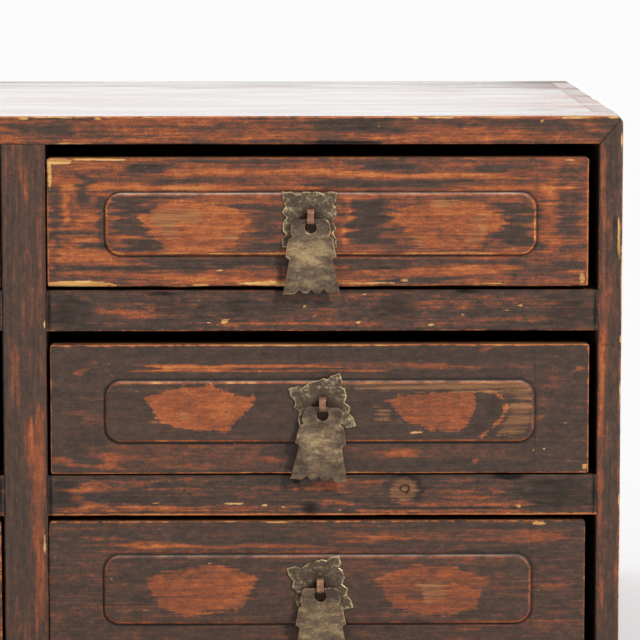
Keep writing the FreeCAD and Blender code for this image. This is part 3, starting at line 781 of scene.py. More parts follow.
# %% Side boards
def side_board(name, side, marks, seed):
    """A side board with its tails and mitres; side is 1 for the right and -1 for the left."""
    xs = divide(INNER_X, OUTER_X, 2.0, 0.5, (INNER_X, OUTER_X), 3.5)
    zs = divide(0.0, HEIGHT, 2.0, 0.6, (0.0, HEIGHT), 4.0)
    points, quads = lattice_skin(xs, joint_columns(), zs)
    mitre, tail = joint_zone(points[:, 1])
    slope = (points[:, 0] - INNER_X) / (OUTER_X - INNER_X)
    end = np.where(mitre, TOP_UNDER + slope * (HEIGHT - TOP_UNDER), TOP_UNDER)
    end = np.where(tail, HEIGHT, end)
    centre = HEIGHT / 2
    points[:, 2] = centre + stretch_ends(
        points[:, 2] - centre, centre, TOP_UNDER - STRETCH - centre, end - centre)
    lean_walls(points)
    from_end = end - centre - np.abs(points[:, 2] - centre)
    soot = joint_soot(points, np.where(tail, 9.0, from_end))
    wear_round(points, [0, 1], (INNER_X, FRONT_Y), (1, 1), ragged(points[:, 2], 0.5, 1.2, seed))
    dip = 0.6 * noise(points[:, 1:], 70.0, seed + 2)
    points[:, 0] -= dip * slope
    round_case(points)
    x, y, z = points.T
    front = y < FRONT_Y + NEAR_FRONT
    along, height = z - centre, x - (INNER_X + OUTER_X) / 2
    clouds = 0.3 * (noise(np.stack([y, z / 3], 1), 14.0, seed + 3) - 0.5)
    to_edge = np.minimum(np.minimum(y - FRONT_Y, BACK_Y - y), np.minimum(z, HEIGHT - z))
    fields = {
        "worn": np.where(front, marks["base"] + smeared(along, height, marks["smears"], seed),
                         0.35 + clouds + 0.16 * np.exp(-to_edge / 18)),
        "streak": marks["streak"],
        "edge": rubbed_edges(points, [
            ([0, 1], (OUTER_X, FRONT_Y), 0.75), ([0, 1], (INNER_X, FRONT_Y), 0.3),
            ([0, 2], (OUTER_X, HEIGHT), 0.8)]),
        "soot": np.maximum(np.maximum(soot, 0.25 * (z > HEIGHT - 0.5)),
                           front * flecked(along, height, marks["dirt_and_shade"], seed + 5)),
        "chip": front * flecked(along, height, marks["chips"], seed + 7),
    }
    inner = (x < INNER_X + 0.05) & (y > FRONT_Y + LACQUER_INSIDE)
    which = np.where(inner[quads].all(1), 1, np.where((z > HEIGHT - 0.5)[quads].all(1), 2, 0))
    if side < 0:
        points[:, 0] *= -1
        quads = quads[:, ::-1]
    print(name, len(points), "points")
    return add_piece(name, points, quads, "case", ["right_side" if side > 0 else "left_side"],
                     [lacquer_z, inner_z_wood, top_lacquer], fields, which)


SIDE_MARKS = dict(
    base=0.42, streak=0.7,
    smears=[
        (60, -3.5, 70, 1.6, 0.08), (30, -4.0, 12, 1.6, 0.15), (5, -3.5, 20, 1.8, 0.12),
        (100, 0.5, 40, 3.0, -0.06), (-60, 1.0, 60, 2.4, -0.06), (-40, -4.0, 60, 1.4, 0.1),
        (110, -4.0, 20, 1.4, 0.12), (75, 0.0, 9, 1.2, 0.12), (-90, -1.0, 20, 1.5, 0.1),
    ],
    chips=[(81, 4.2, 8, 0.8), (92, 3.8, 3, 0.5), (131, 5.0, 4, 0.5), (32, 5.3, 2, 0.4),
           (5, 5.4, 5, 0.4), (-50, 5.3, 3, 0.4), (60, 5.5, 20, 0.3, 0.8), (-90, 5.5, 20, 0.3, 0.8)],
    dirt_and_shade=[(90, 2.4, 4, 0.5, 0.9), (29, -1.0, 0.8, 4.0, 0.5)],
)
side_board("worn_right_side", 1, SIDE_MARKS, 141)
side_board("worn_left_side", -1, SIDE_MARKS, 161)


# %% [markdown]
# ## Rails and post
#
# The bars between the drawers are plain sticks, mortised into the sides and the post.
# Their tenons are out of sight, so only the bars are drawn. One rail has a knot, round
# which the grain runs in rings.

# %% Bars
KNOT = (41.0, 3.2)          # place of the knot on the lower right rail, from its middle
INNER_RING, OUTER_RING = 1.7, 7.2       # radii of the dark rings round it
BAR_LACQUERED = 9.0         # how far back the lacquer goes on a bar


def knot_rings(along, height):
    """Distance to the knot, and the darkness of the rings round it.

    Each ring is a bell curve of the distance, which a noise disturbs; the outer ring
    fades towards the lower left.
    """
    over, up = along - KNOT[0], height - KNOT[1]
    r = np.hypot(over / 1.15, up)
    r += 2.0 * (noise(np.stack([along, height], 1), 2.5, 77) - 0.5) * np.minimum(r / 3, 1)
    inner = 0.8 * np.exp(-((r - INNER_RING) / 0.45) ** 2)
    outer = 0.5 * np.clip(0.5 + (over + up) / 10, 0, 1) * np.exp(-((r - OUTER_RING) / 1.5) ** 2)
    return r, inner + outer


def bar(name, node, lo, hi, grain, marks, seed, most_round):
    """A stick with worn long edges at the front; grain is its long axis, 0 or 2."""
    knotted = marks.get("knot", False)
    knot_x = (lo[0] + hi[0]) / 2 + KNOT[0]
    axes = []
    for k, coarse in enumerate((0.6, 3.0, 1.5) if grain == 2 else (1.5, 3.0, 0.6)):
        places = (lo[k], hi[k])
        if k == grain:
            places = (knot_x,) if knotted else ()
        reach = 10.0 if k == grain or (knotted and k == 2) else 2.5
        axes.append(divide(lo[k], hi[k], coarse, 0.35, places, reach))
    points, quads = lattice_skin(*axes)
    other = 2 - grain
    run = points[:, grain].copy()
    across = [1, 2] if other == 2 else [0, 1]
    edges = []
    for end, inward, most, width in zip((lo, hi), (1, -1), most_round, marks["edges"]):
        corner, turn = (end[0], lo[1]), (inward, 1)
        if other == 2:
            corner, turn = (lo[1], end[2]), (1, inward)
        wear_round(points, across, corner, turn, ragged(run, 0.6, most, seed + inward))
        edges.append((across, corner, width))
    front = points[:, 1] < lo[1] + 2
    points[:, 1] += np.where(front, 0.3 * noise(points[:, [0, 2]], 18.0, seed + 2), 0)
    middle = (lo + hi) / 2
    along, height = points[:, grain] - middle[grain], points[:, other] - middle[other]
    knot, rings = knot_rings(along, height)
    rings = rings * knotted
    chips = marks["chips"] + stray_chips(seed, marks.get("specks", 0), 138, 9)
    fields = {
        "worn": marks["base"] + smeared(along, height, marks["smears"], seed) - 0.35 * rings,
        "streak": marks["streak"],
        "edge": rubbed_edges(points, edges),
        "soot": flecked(along, height, marks["dirt_and_shade"], seed + 5) + 0.85 * rings,
        "tan": np.where(knotted, 6.0 - knot, -9.0),
        "chip": flecked(along, height, chips, seed + 7),
        "mottled": 1.5 if grain == 0 else 0.7,
    }
    raw = points[:, 1] > lo[1] + BAR_LACQUERED
    finish, inside = (lacquer_x, inner_x_wood) if grain == 0 else (lacquer_z, inner_z_wood)
    print(name, len(points), "points")
    return add_piece(name, points, quads, "case", [node],
                     [finish, inside], fields, raw[quads].all(1))


# %% Marks of the rails and the post
# Among the rails' dark marks, the upright bars 136.6 mm either side of the middle are painted shade with
# dirt where a rail meets the side board and the post, and the full-length strip 9.8 mm up on the right
# rails is painted shade along the top edge, under the drawer above.
RAILS = {
    "upper_rail_right": dict(
        base=0.38, streak=0.8, edges=(0.6, 0.2), specks=10,
        smears=[(-90, -2, 20, 2.2, 0.12), (20, -6, 60, 1.5, 0.1), (110, 3, 30, 2, 0.08),
                (-40, 3, 40, 2.5, -0.06), (60, 3, 14, 2, 0.12), (-73, 3, 9, 1.5, 0.14),
                (-106, 1, 8, 3, 0.12), (-126, 0, 9, 9, -0.1), (86, -4, 26, 1.2, 0.1),
                (-20, -7, 50, 1.0, 0.14), (100, 6, 16, 1.4, 0.12)],
        chips=[(-49, -5.3, 1.4, 1.0, 1.4), (99, 2.2, 1.5, 0.5), (92, 0, 1.0, 0.4), (70, -2.2, 1.4, 0.5),
               (54, -7.2, 1.5, 0.5), (18, -6.0, 1.2, 0.5), (-9, 2.0, 0.5, 0.5), (-5, -3.0, 0.5, 0.5)],
        dirt_and_shade=[(72, 9.6, 7, 1.0), (-80, 8.8, 8, 1.2, 0.8), (125, 0, 12, 9, 0.42), (-136.6, 0, 1.0, 12),
              (136.6, 0, 1.2, 12), (-60, 2, 3, 1.5, 0.5), (30, -2, 3, 1.5, 0.5), (-76, 2, 9, 5, 0.42),
              (-44, 1, 7, 4.5, 0.38), (37, 1, 11, 5.5, 0.45), (-128, 0, 10, 9, 0.42),
              (0, 9.8, 136, 1.0, 0.4)]),
    "lower_rail_right": dict(
        base=0.36, streak=0.85, edges=(1.3, 0.1), knot=True, specks=6,
        smears=[(-101, 5, 18, 3.0, 0.24), (-116, -1, 5, 4.5, 0.2), (-62, -6.8, 60, 1.4, 0.24),
                (15.5, 5, 17, 3.0, 0.2), (8, -3.5, 10, 2.0, 0.18), (70, -4.6, 34, 1.1, 0.26),
                (77, 1.5, 25, 2.0, 0.16), (75, -8.0, 42, 0.8, 0.25), (121, 0, 14, 8, -0.14),
                (-129, 0, 6, 9, -0.12), (-84, -1, 24, 2.2, -0.12), (-40, 2, 25, 2.5, 0.12),
                (12, -1, 14, 1.2, -0.15), (70, -6.6, 30, 0.5, -0.3), (-20, 7, 8, 2, -0.12),
                (98, -2, 20, 1.2, 0.18)],
        chips=[(-84.5, -3.8, 2, 0.4), (-44, -4.0, 4, 0.5), (98.7, -5.8, 1.6, 0.8), (-20, -6, 1.5, 0.4),
               (-29, -5, 1.2, 0.6)],
        dirt_and_shade=[(-13, 7, 2, 1.2), (-6.5, -6.5, 4.5, 3.0, 0.8), (93.7, 9.6, 6.5, 1.6, 1.3),
              (122, 0, 15, 8, 0.42), (-136.6, 0, 1.0, 12), (136.6, 0, 1.2, 12),
              (-70, -8.2, 50, 0.3, 0.5), (-129, 0, 8, 9, 0.4), (0, 9.8, 136, 1.0, 0.4),
              (0, 0, 150, 12, 0.13)]),
    "upper_rail_left": dict(
        base=0.38, streak=0.75, edges=(0.5, 0.1), smears=stray_smears(21, 8, 130, 8, 0.15),
        chips=[(60, -6, 1.5, 0.6), (-30, 3, 1.2, 0.5)],
        dirt_and_shade=[(-60, 8.8, 9, 1.2, 0.8), (-136.6, 0, 1.2, 12), (136.6, 0, 1.0, 12)]),
    "lower_rail_left": dict(
        base=0.40, streak=0.9, edges=(0.9, 0.1), smears=stray_smears(22, 8, 130, 8, 0.15),
        chips=[(-70, -6, 3, 0.6), (84, -5, 2, 0.6)],
        dirt_and_shade=[(30, 8.8, 7, 1.2, 0.8), (-136.6, 0, 1.2, 12), (136.6, 0, 1.0, 12)]),
}
for count, (rail_name, rail_marks) in enumerate(RAILS.items()):
    rail_lo, rail_hi = box_mm(rail_name)
    inner_end = post_hi[0] * np.sign(rail_lo[0] + rail_hi[0])
    outer_end = INNER_X * np.sign(rail_lo[0] + rail_hi[0])
    rail_lo[0], rail_hi[0] = min(inner_end, outer_end), max(inner_end, outer_end)
    bar("worn_" + rail_name, rail_name, rail_lo, rail_hi, 0, rail_marks, 181 + 9 * count, (2.2, 1.2))

POST_MARKS = dict(
    base=0.41, streak=0.62, edges=(0.15, 0.35),
    smears=[(-45, 6, 33, 3.5, 0.2), (109, 0, 9, 3, 0.1), (17, -5, 15, 2.5, 0.1),
            (70, -7, 30, 2.0, -0.06), (-75, -4, 30, 4.0, -0.06), (60, 8.5, 60, 1.0, 0.06),
            (-20, 2, 10, 2.0, 0.12), (-100, 7, 20, 2.5, 0.18)],
    chips=[(40, 10.2, 2, 0.4), (-72, 9.5, 5, 0.8, 0.8)],
    # The two lines along the post's long edges are painted shade where the drawers meet it.
    dirt_and_shade=[(0, -10.6, 140, 0.5, 0.8), (0, 10.7, 140, 0.3, 0.6)])
post_lo[2], post_hi[2] = HEIGHT - TOP_UNDER, TOP_UNDER
bar("worn_post", "post", post_lo, post_hi, 2, POST_MARKS, 231, (1.0, 1.0))


# %% [markdown]
# ## Drawer fronts
#
# Each front is one thick board. Its ground was cut back round a panel with round corners,
# so the panel is the board's own wood and stands up like a low cushion. The tool left the
# strips above and below the panel a little deeper than the ends. The height of the face
# is a formula of the distance to the panel's outline, so it is exact at any density.

# %% Sizes of a front
PANEL_MARGIN = 27.5         # from the ends of a front to its panel
PANEL_BORDER = 17.25        # from its long edges to the panel
PANEL_CORNER = 8.0
PANEL_RISE = 1.6
PANEL_EDGE = 2.0            # width of the round shoulder
STRIP_DEPTH = 0.25          # how much deeper the strips are than the ends
EDGE_DEEP = 6.0             # how far back and up the worn slope under a front reaches
TAIL_LAP = 5.0              # from the ground back to the tails of the sides
TAIL_PROUD = 0.15           # how far the tails stand out of the front's ends
FRONT_LACQUERED = 8.0       # how far back the lacquer goes on the ends and the underside
print("a panel starts", PANEL_MARGIN, "mm from the ends and", PANEL_BORDER, "mm from the long edges")


# %% Shape of a front
def rounded_box_distance(along, across, half_along, half_across, corner):
    """Signed distance to a rectangle with round corners, and the way out from it.

    The overshoot past the inner rectangle, whose corners are the circles' centres, gives
    the distance outside; inside, the larger of its two parts does.
    """
    over_along = np.abs(along) - (half_along - corner)
    over_across = np.abs(across) - (half_across - corner)
    outside = np.hypot(np.maximum(over_along, 0), np.maximum(over_across, 0))
    distance = outside + np.minimum(np.maximum(over_along, over_across), 0) - corner
    flat = over_along < over_across
    upward = np.where(outside > 0, np.maximum(over_across, 0) / np.maximum(outside, 1e-9), flat)
    return distance, upward * np.sign(across)


def panel_relief(along, height, distance, half, panel_off, seed):
    """How deep each place of the face lies behind the ground; the panel is in front of it.

    The panel's shoulder is a quarter circle. A groove, whose section is a bell curve, runs
    round the panel, the strips above and below it are a little deeper, and the tool left
    low waves.
    """
    rise = np.sqrt(1 - (1 - np.clip(-distance / PANEL_EDGE, 0, 1)) ** 2) * PANEL_RISE
    groove = 0.35 * np.exp(-((distance - 0.6) / 0.7) ** 2)
    panel_half = half[0] - PANEL_MARGIN
    strip = np.clip(panel_half + 0.5 - np.abs(along - panel_off[0]), 0, 1) * np.clip(distance, 0, 1)
    strip *= np.clip(half[2] - 2.5 - np.abs(height), 0, 1)
    wave = 0.22 * noise(np.stack([along / 3, height], 1), 6.0, seed)
    wave *= np.clip(-distance / 3 + 1, 0.3, 1)
    return groove + STRIP_DEPTH * strip + wave - rise


def worn_slope(points, lowest, ground, under, seed):
    """How far the lower edge is worn up: most at the face, and nothing EDGE_DEEP away."""
    slope = np.clip(1 - (points[:, 2] - lowest[2]) / EDGE_DEEP, 0, 1)
    slope *= np.clip(1 - (points[:, 1] - ground) / EDGE_DEEP, 0, 1)
    slope *= under * (0.7 + 0.6 * noise(points[:, 0], 17.0, seed))
    return slope


def round_front(points, lo, hi, ground, seed):
    """Rounds the edges of the face raggedly, and the edges behind them evenly.

    The tails of the drawer's sides lie flush in its ends, so the wood round them shrank.
    """
    run = points[:, 0].copy()
    middle, half = (lo[0] + hi[0]) / 2, (hi[0] - lo[0]) / 2
    behind = np.clip(points[:, 1] - ground - TAIL_LAP + 1, 0, 1)
    points[:, 0] = middle + (points[:, 0] - middle) * (1 - TAIL_PROUD * behind / half)
    for level, up in ((lo[2], 1), (hi[2], -1)):
        wear_round(points, [1, 2], (ground, level), (1, up), ragged(run, 0.9, 2.0, seed + up))
    for end, inward in ((lo[0], 1), (hi[0], -1)):
        wear_round(points, [0, 1], (end, ground), (inward, 1), ragged(points[:, 2], 0.9, 1.8, seed + 3))
        for level, up in ((lo[2], 1), (hi[2], -1)):
            wear_round(points, [0, 2], (end, level), (inward, up), 1.6)


# %% Drawer front
def drawer_face(name, seed, base, streak, panel_off, under, smears, patches, tans, rim, gleam, edge,
                chips, dirt_and_shade):
    """A drawer front: worn block with its raised panel and its map of wear."""
    lo, hi = box_mm(name + "_front")
    ground = lo[1] + PANEL_RISE
    middle = (lo + hi) / 2
    half = (hi - lo) / 2
    panel = half - np.array([PANEL_MARGIN, 0, PANEL_BORDER])
    ends = middle[0] + panel_off[0] + panel[0] * np.array([-1, 1])
    lines = middle[2] + panel_off[1] + panel[2] * np.array([-1, 1])
    xs = divide(lo[0], hi[0], 1.5, 0.4, (lo[0], hi[0], ends[0] + 3, ends[1] - 3), 5.5)
    zs = divide(lo[2], hi[2], 0.5, 0.3, (lo[2], hi[2], *lines), 3.0)
    ys = divide(ground, hi[1], 2.5, 0.5, (ground,), 3.0)
    points, quads = lattice_skin(xs, ys, zs)
    face = points[:, 1] < ground + 1e-6
    along, height = points[:, 0] - middle[0], points[:, 2] - middle[2]
    distance, upward = rounded_box_distance(
        along - panel_off[0], height - panel_off[1], panel[0], panel[2], PANEL_CORNER)
    slope = worn_slope(points - (middle[0], 0, 0), lo, ground, under, seed + 11)
    relief = panel_relief(along, height, distance, half, panel_off, seed)
    points[:, 1] = np.maximum(points[:, 1] + np.where(face, relief, 0), lo[1])
    round_front(points, lo, hi, ground, seed)
    edge_strip = rubbed_edges(points, [
        ([1, 2], (ground, lo[2]), edge[0]), ([1, 2], (ground, hi[2]), edge[1]),
        ([0, 1], (lo[0], ground), edge[2]), ([0, 1], (hi[0], ground), edge[2])])
    points[:, 2] += slope
    height = points[:, 2] - middle[2]
    facing = [np.maximum(upward, 0) ** 2, np.maximum(-upward, 0) ** 2, 1 - upward ** 2]
    patch, patch_worn = within(along, height, patches)
    tan, tan_shift = within(along, height, tans)
    grey_top = (points[:, 2] > hi[2] - 0.2) & ~face
    # Dirt and painted shade in the groove round the panel, darkest 0.5 mm outside its outline.
    groove_dirt_and_shade = 0.75 * np.exp(-((distance - 0.5) / 0.5) ** 2) * face
    # Painted shade under the front: its underside behind the face gets the full dark colour.
    painted_shade_under_front = (points[:, 2] < lo[2] + 0.25 + slope) & (points[:, 1] > ground + 0.3)
    fields = {
        "worn": base + smeared(along, height, smears, seed),
        "streak": streak,
        "edge": edge_strip,
        "patch": np.where(face, patch, -9.0),
        "patch_worn": patch_worn,
        "rim": np.stack(facing, 1) @ rim * face,
        "from_panel": distance,
        "tan": np.where(grey_top, 1.0, np.where(face & (distance < -0.8), tan + tan_shift, -9.0)),
        "soot": np.maximum(np.maximum(groove_dirt_and_shade, painted_shade_under_front), flecked(along, height, dirt_and_shade, seed + 5)),
        "chip": face * flecked(along, height, chips + stray_chips(seed, 6, 134, 31), seed + 7),
        # Painted highlight: a pale line along the panel's upward-facing top shoulder.
        "gleam": gleam * face * np.maximum(upward, 0) ** 4 * np.exp(-((distance + 0.25) / 0.3) ** 2),
    }
    raw = (points[:, 1] > ground + FRONT_LACQUERED) & (points[:, 2] < hi[2] - 0.2)
    print(name, len(points), "points")
    return add_piece("worn_" + name + "_front", points, quads, name, [name + "_front"],
                     [lacquer_x, raw_x], fields, raw[quads].all(1))


# %% [markdown]
# The marks of each front follow the old chest where it is seen, and are made up in the
# same manner where it is not. Places are in millimetres from the middle of the front, to
# the right and up. `panel_off` is how far its panel stands off the middle, `under` how
# much of its lower edge is worn away, `rim` the strength of the panel's line at its top,
# bottom and ends, `gleam` the strength of the pale line painted along its top
# shoulder where a highlight falls, and `edge` the rubbed width of its bottom, top and end
# edges. A patch has a depth of wear, and a greyed place the millimetres by which it is
# wider.

# %% Outline of most bald patches
HEXAGON = [(-86, 6), (-68, 12), (-48, 13), (-30, 6), (-38, -9), (-66, -13), (-80, -8)]
FRONTS = {}

# %% Marks of the top right front
FRONTS["drawer_top_right"] = dict(
    base=0.575, streak=0.78, panel_off=(1.4, -0.3), under=1.2,
    rim=(0.15, 0.34, 0.34), gleam=1.0, edge=(0.7, 0.35, 0.9),
    smears=[
        (-88, 27.4, 9, 1.9, -0.26), (-63, 21.5, 22, 1.2, -0.14), (-114, 28.5, 11, 1.5, 0.14),
        (-35, 25.5, 42, 1.6, 0.2), (-95, 18, 38, 1.1, 0.28), (-40, 17.6, 40, 1.0, 0.16),
        (-131, 17.7, 3, 1.4, -0.3), (-115, 21.5, 3.0, 3.0, -0.28), (-117.5, 15, 2.4, 4.0, -0.24),
        (-125.7, 8, 1.2, 8, 0.22), (-116, 2.5, 6, 5, 0.12), (-119, -4.8, 11, 0.8, -0.34),
        (-119, -8, 8, 1.0, 0.22), (-118, -11, 7, 0.9, -0.28), (-112, -16.5, 18, 3.4, 0.16),
        (-131, -4, 2.2, 22, -0.16), (-108, 0, 1.6, 13, -0.22), (-92, -22.4, 40, 1.0, -0.28),
        (-60, -26.5, 20, 1.4, 0.14), (-40, -19.5, 42, 2.0, -0.26), (-20, -29, 36, 1.0, 0.22),
        (-94, 3.5, 8, 8.5, -0.27), (-92, -10.5, 12, 3.0, -0.27), (-95, -6.6, 9, 0.4, 0.3),
        (-36, 8.6, 8, 1.5, -0.22), (-28, -12, 12, 2.4, -0.26), (-24, 1, 7, 8, -0.14),
        (20, 24.8, 18, 1.4, 0.16), (64, 23.6, 36, 1.4, 0.18), (28.5, 28.2, 13, 1.6, -0.26),
        (35, 20.2, 34, 1.7, -0.22), (100, 17.8, 28, 1.3, 0.2), (83, 27.3, 10, 2.0, -0.2),
        (126, 24, 7, 5, -0.1), (15.5, 7, 1.3, 6, 0.3), (12.6, -5, 1.3, 5, 0.28),
        (24, 1, 9.5, 11, -0.3), (97, -1, 8, 11, -0.28), (96, -0.4, 8, 0.5, 0.26),
        (116, 4, 3, 20, 0.12), (125, 2, 5, 14, -0.14), (124, 11, 4, 1.4, 0.16), (125, -8, 5, 3, 0.12),
        (68, -23.8, 34, 2.2, 0.14), (20, -22.5, 12, 1.0, -0.28), (58, -19.2, 48, 1.2, -0.18),
        (61, -28.8, 15, 1.5, -0.26), (26, -29.4, 14, 1.0, 0.24), (125, -23, 9, 4, -0.14),
        (103, -22, 5, 5, -0.12), (0, 30.8, 110, 0.8, -0.08), (-80, 13.2, 20, 1.0, -0.1),
    ],
    patches=[
        ([(-89, 3.5), (-80.7, 8.5), (-74, 10.6), (-55.7, 11), (-45.7, 8.5), (-36.5, 4.8), (-34, 1),
          (-39.8, -7.3), (-41.5, -13.2), (-64, -14.4), (-75.7, -13.2), (-82.3, -5.7)], 0.73),
        ([(34.3, 5.2), (47.7, 9.3), (59.3, 10.6), (76, 10.2), (84.3, 7.7), (95, 0.6), (84.3, -5.7),
          (82.7, -10.7), (76, -13.2), (54.3, -13.2), (48.5, -10.7), (42.7, -4)], 0.72),
    ],
    tans=[
        ([(-83.2, 2.7), (-80.7, 5.2), (-68.2, 6.7), (-58.6, 5.3), (-59, 2.5), (-68.2, 2), (-73.2, 1.2),
          (-72.3, -2.3), (-70.5, -5.3), (-73.2, -6.7), (-78.2, -3.2), (-81.5, 0.2)], 0.5),
        ([(57.7, 11.8), (68.5, 11.4), (66, 8.5), (58, 8.8)], 0.0),
        ([(76, 3.5), (83, 3.5), (82, 0.2), (76, 0.2)], 0.2),
        ([(74, -3), (84, -1), (87, 0), (80, -10), (74, -10)], -1.2),
        ([(46, -6), (50, -6), (54, -12), (50, -12)], -0.4),
        ([(-47, -5.7), (-40, -5.7), (-42, -8.2), (-47, -8.2)], 0.0),
    ],
    chips=[
        (-129, 31.2, 6.5, 1.3, 1.6), (-112, 32.0, 14, 0.5, 1.2), (-133.6, 25, 0.9, 6.5, 1.2),
        (-121, -30.5, 15.5, 1.2, 2.0), (-22, -30.2, 16, 0.7, 1.2), (-58.5, -30.9, 3.4, 0.5, 1.6),
        (-49.3, -23.6, 1.7, 0.4), (87, -30.3, 9, 0.4, 0.8), (132, -27.5, 1.4, 2.6),
        (26, -29.9, 15, 0.5, 0.9), (43, -28.6, 1.6, 0.6), (126, 31.5, 3, 0.4, 0.9),
    ],
    dirt_and_shade=[(-66, -22.3, 26, 0.3, 0.45), (-19, -25, 1.0, 7, 0.5), (73.5, -12.3, 1.2, 0.5, 0.6)],
)

# %% Marks of the middle right front
FRONTS["drawer_middle_right"] = dict(
    base=0.335, streak=0.42, panel_off=(0.0, -1.1), under=0.0,
    rim=(0.5, 0.45, 0.12), gleam=0.5, edge=(0.95, 0.95, 0.8),
    smears=[
        (-120.5, 19, 2.4, 2.0, 0.26), (-112, 24, 1.6, 1.6, 0.22), (-45, 21.8, 46, 0.8, 0.42),
        (-72, 20.4, 18, 0.9, 0.3), (-45, 19.4, 54, 0.5, 0.3), (-121, -4, 8, 4, 0.1),
        (-129, -25.5, 5, 1.6, 0.3), (-119, -28.5, 5, 0.8, 0.2), (-62, -24, 46, 6.5, 0.13),
        (-104, -26, 4, 4, 0.16), (-23.5, -25.3, 2.4, 1.5, 0.16), (80.8, 29.7, 2.4, 1.5, 0.25),
        (35, 22, 34, 1.8, 0.14), (20, 19.4, 10, 0.5, 0.4), (70, 21.6, 30, 1.2, 0.1),
        (115, 17, 4, 7, 0.13), (128, 20.3, 2.4, 1.8, 0.26), (127, 0.6, 6, 0.6, 0.16),
        (128, -16, 5, 1.0, 0.12), (60, -21.5, 46, 3.4, 0.1), (45.8, -22.3, 6.5, 1.8, 0.2),
        (78, -26.6, 1.4, 1.3, 0.34), (33, -22, 3, 1.0, 0.12), (60, -28, 50, 1.6, -0.05),
        (-120, 10, 12, 6, 0.04), (-60, 28, 60, 2, -0.04), (60, 27, 60, 3, -0.04),
        (99, 0, 7, 12, 0.1), (-84, -6, 7, 0.9, 0.18), (-76, -10.5, 7, 0.8, 0.14),
    ],
    patches=[
        ([(-89.6, 5.9), (-81.7, 8.8), (-70, 10.5), (-69.2, 12.6), (-66.7, 13.8), (-66.7, 11.5),
          (-60, 11.5), (-54.2, 13.8), (-52.5, 10.5), (-40, 7.2), (-35, 6.3), (-33.8, 8.8), (-32.5, 8),
          (-32.5, 4.3), (-40.8, -5.3), (-47.5, -12), (-56.7, -9.9), (-60.8, -11.2), (-73.3, -8.3),
          (-78.3, -6.2), (-85.8, 2.2)], 0.72),
        ([(33.3, 4.7), (40, 8), (77.5, 8.8), (78.3, 3), (76.7, -3.7), (70.8, -11.2), (58.3, -10.3),
          (46.7, -8.7), (40.8, -3.7), (36.7, 0.5)], 0.66),
        ([(84, 9.4), (90.8, 7.6), (94.1, 2.2), (93.2, -3.0), (88.8, -8.1), (81.4, -14.3), (79.4, -14.3),
          (87.6, -7.6), (91.8, -2.6), (92.5, 2.2), (89.2, 6.6), (84, 8.4)], 0.8),
    ],
    tans=[
        ([(11, 15.5), (104, 15.5), (104, 10), (95, 9), (80, 9.5), (60, 9.5), (30, 10), (12, 12)], 0.3),
        ([(95, 9), (106, 13), (107, 4), (97, 5)], -0.5),
        ([(96, 3), (106, 4), (106, -9), (98, -14), (86, -14), (94, -4)], -0.6),
        ([(27.5, 1.3), (36.7, 1.3), (35, -5.3), (28, -5.3)], -0.9),
        ([(-72, -2), (-66, -1), (-65, -5), (-71, -6)], -0.8),
        ([(-48, -1), (-45, -1), (-45, -5), (-48, -5)], -0.6),
    ],
    chips=[(112.5, -20.3, 0.8, 0.7, 0.9), (48.8, -11.7, 2.8, 0.5, 0.9), (133, -29.5, 1.2, 1.6, 0.9),
           (0, 32.2, 50, 0.25, 0.75)],
    # The two thin upright lines 108 mm either side of the middle are dirt and painted shade in the
    # groove at the panel's ends.
    dirt_and_shade=[(86, 1.5, 4, 6, 0.3), (80, -9, 4, 4, 0.3), (20, 2, 8, 9, 0.2), (108, -1.1, 0.3, 30, 0.45),
          (-108, -1.1, 0.3, 30, 0.4), (-58.5, 4.3, 1.5, 0.4, 0.6), (-47, -1, 1.0, 0.5, 0.6),
          (-54, -6.2, 1.0, 0.4, 0.5)],
)

# %% Marks of the bottom right front
FRONTS["drawer_bottom_right"] = dict(
    base=0.39, streak=0.62, panel_off=(0.2, -0.2), under=0.4,
    rim=(0.2, 0.3, 0.25), gleam=0.5, edge=(0.5, 0.6, 0.5),
    smears=[
        (60, 27.0, 70, 3.0, 0.1), (-50, 22.0, 55, 1.0, 0.2), (-108, 27.0, 20, 3.0, -0.1),
        (-10, 27.0, 22, 2.4, -0.1), (115, 24.0, 10, 4.0, 0.08), (-30, 19.0, 70, 1.0, 0.1),
        (32, 25, 10, 2.0, 0.14), (-108, 25.5, 9, 1.2, 0.18), (-75, 22.5, 20, 1.6, 0.14),
        (100, 20, 20, 1.5, -0.12), *stray_smears(31, 9, 120, 20, 0.18),
    ],
    patches=[(HEXAGON, 0.66), ([(-a, b - 1) for a, b in HEXAGON], 0.62)],
    tans=[([(50, 3), (64, 6), (66, -6), (54, -8)], -1.0)],
    chips=[(112, 33.2, 4, 0.9, 1.1), (-20, 34.0, 6, 0.4)], dirt_and_shade=[(90, 24, 3, 1.0, 0.4)],
)

# %% Marks of the top left front
FRONTS["drawer_top_left"] = dict(
    base=0.48, streak=0.95, panel_off=(0.2, -0.4), under=0.6,
    rim=(0.2, 0.3, 0.3), gleam=0.6, edge=(0.6, 0.5, 0.6),
    smears=stray_smears(32, 22, 125, 30, 0.26),
    patches=[([(a, -b) for a, b in HEXAGON], 0.68), ([(-a, b) for a, b in HEXAGON], 0.7)],
    tans=[([(-74, 6), (-60, 8), (-52, -4), (-66, -7)], -0.8)],
    chips=[(132, -20, 1.6, 8.0, 0.9), (-110, 31.6, 8, 0.6)], dirt_and_shade=[(-90, 25, 4, 1.2, 0.4)],
)

# %% Marks of the middle left front
FRONTS["drawer_middle_left"] = dict(
    base=0.40, streak=0.7, panel_off=(-0.6, 0.3), under=0.3,
    rim=(0.35, 0.35, 0.15), gleam=0.4, edge=(0.8, 0.8, 0.7),
    smears=stray_smears(33, 18, 125, 30, 0.24),
    patches=[(HEXAGON, 0.66), ([(-a + 6, -b) for a, b in HEXAGON], 0.6)],
    tans=[([(48, 6), (66, 7), (70, -5), (56, -8)], -0.8)],
    chips=[(90, -31.2, 7, 0.6), (-60, 31.8, 4, 0.4)], dirt_and_shade=[(30, 24, 3, 1.2, 0.4)],
)

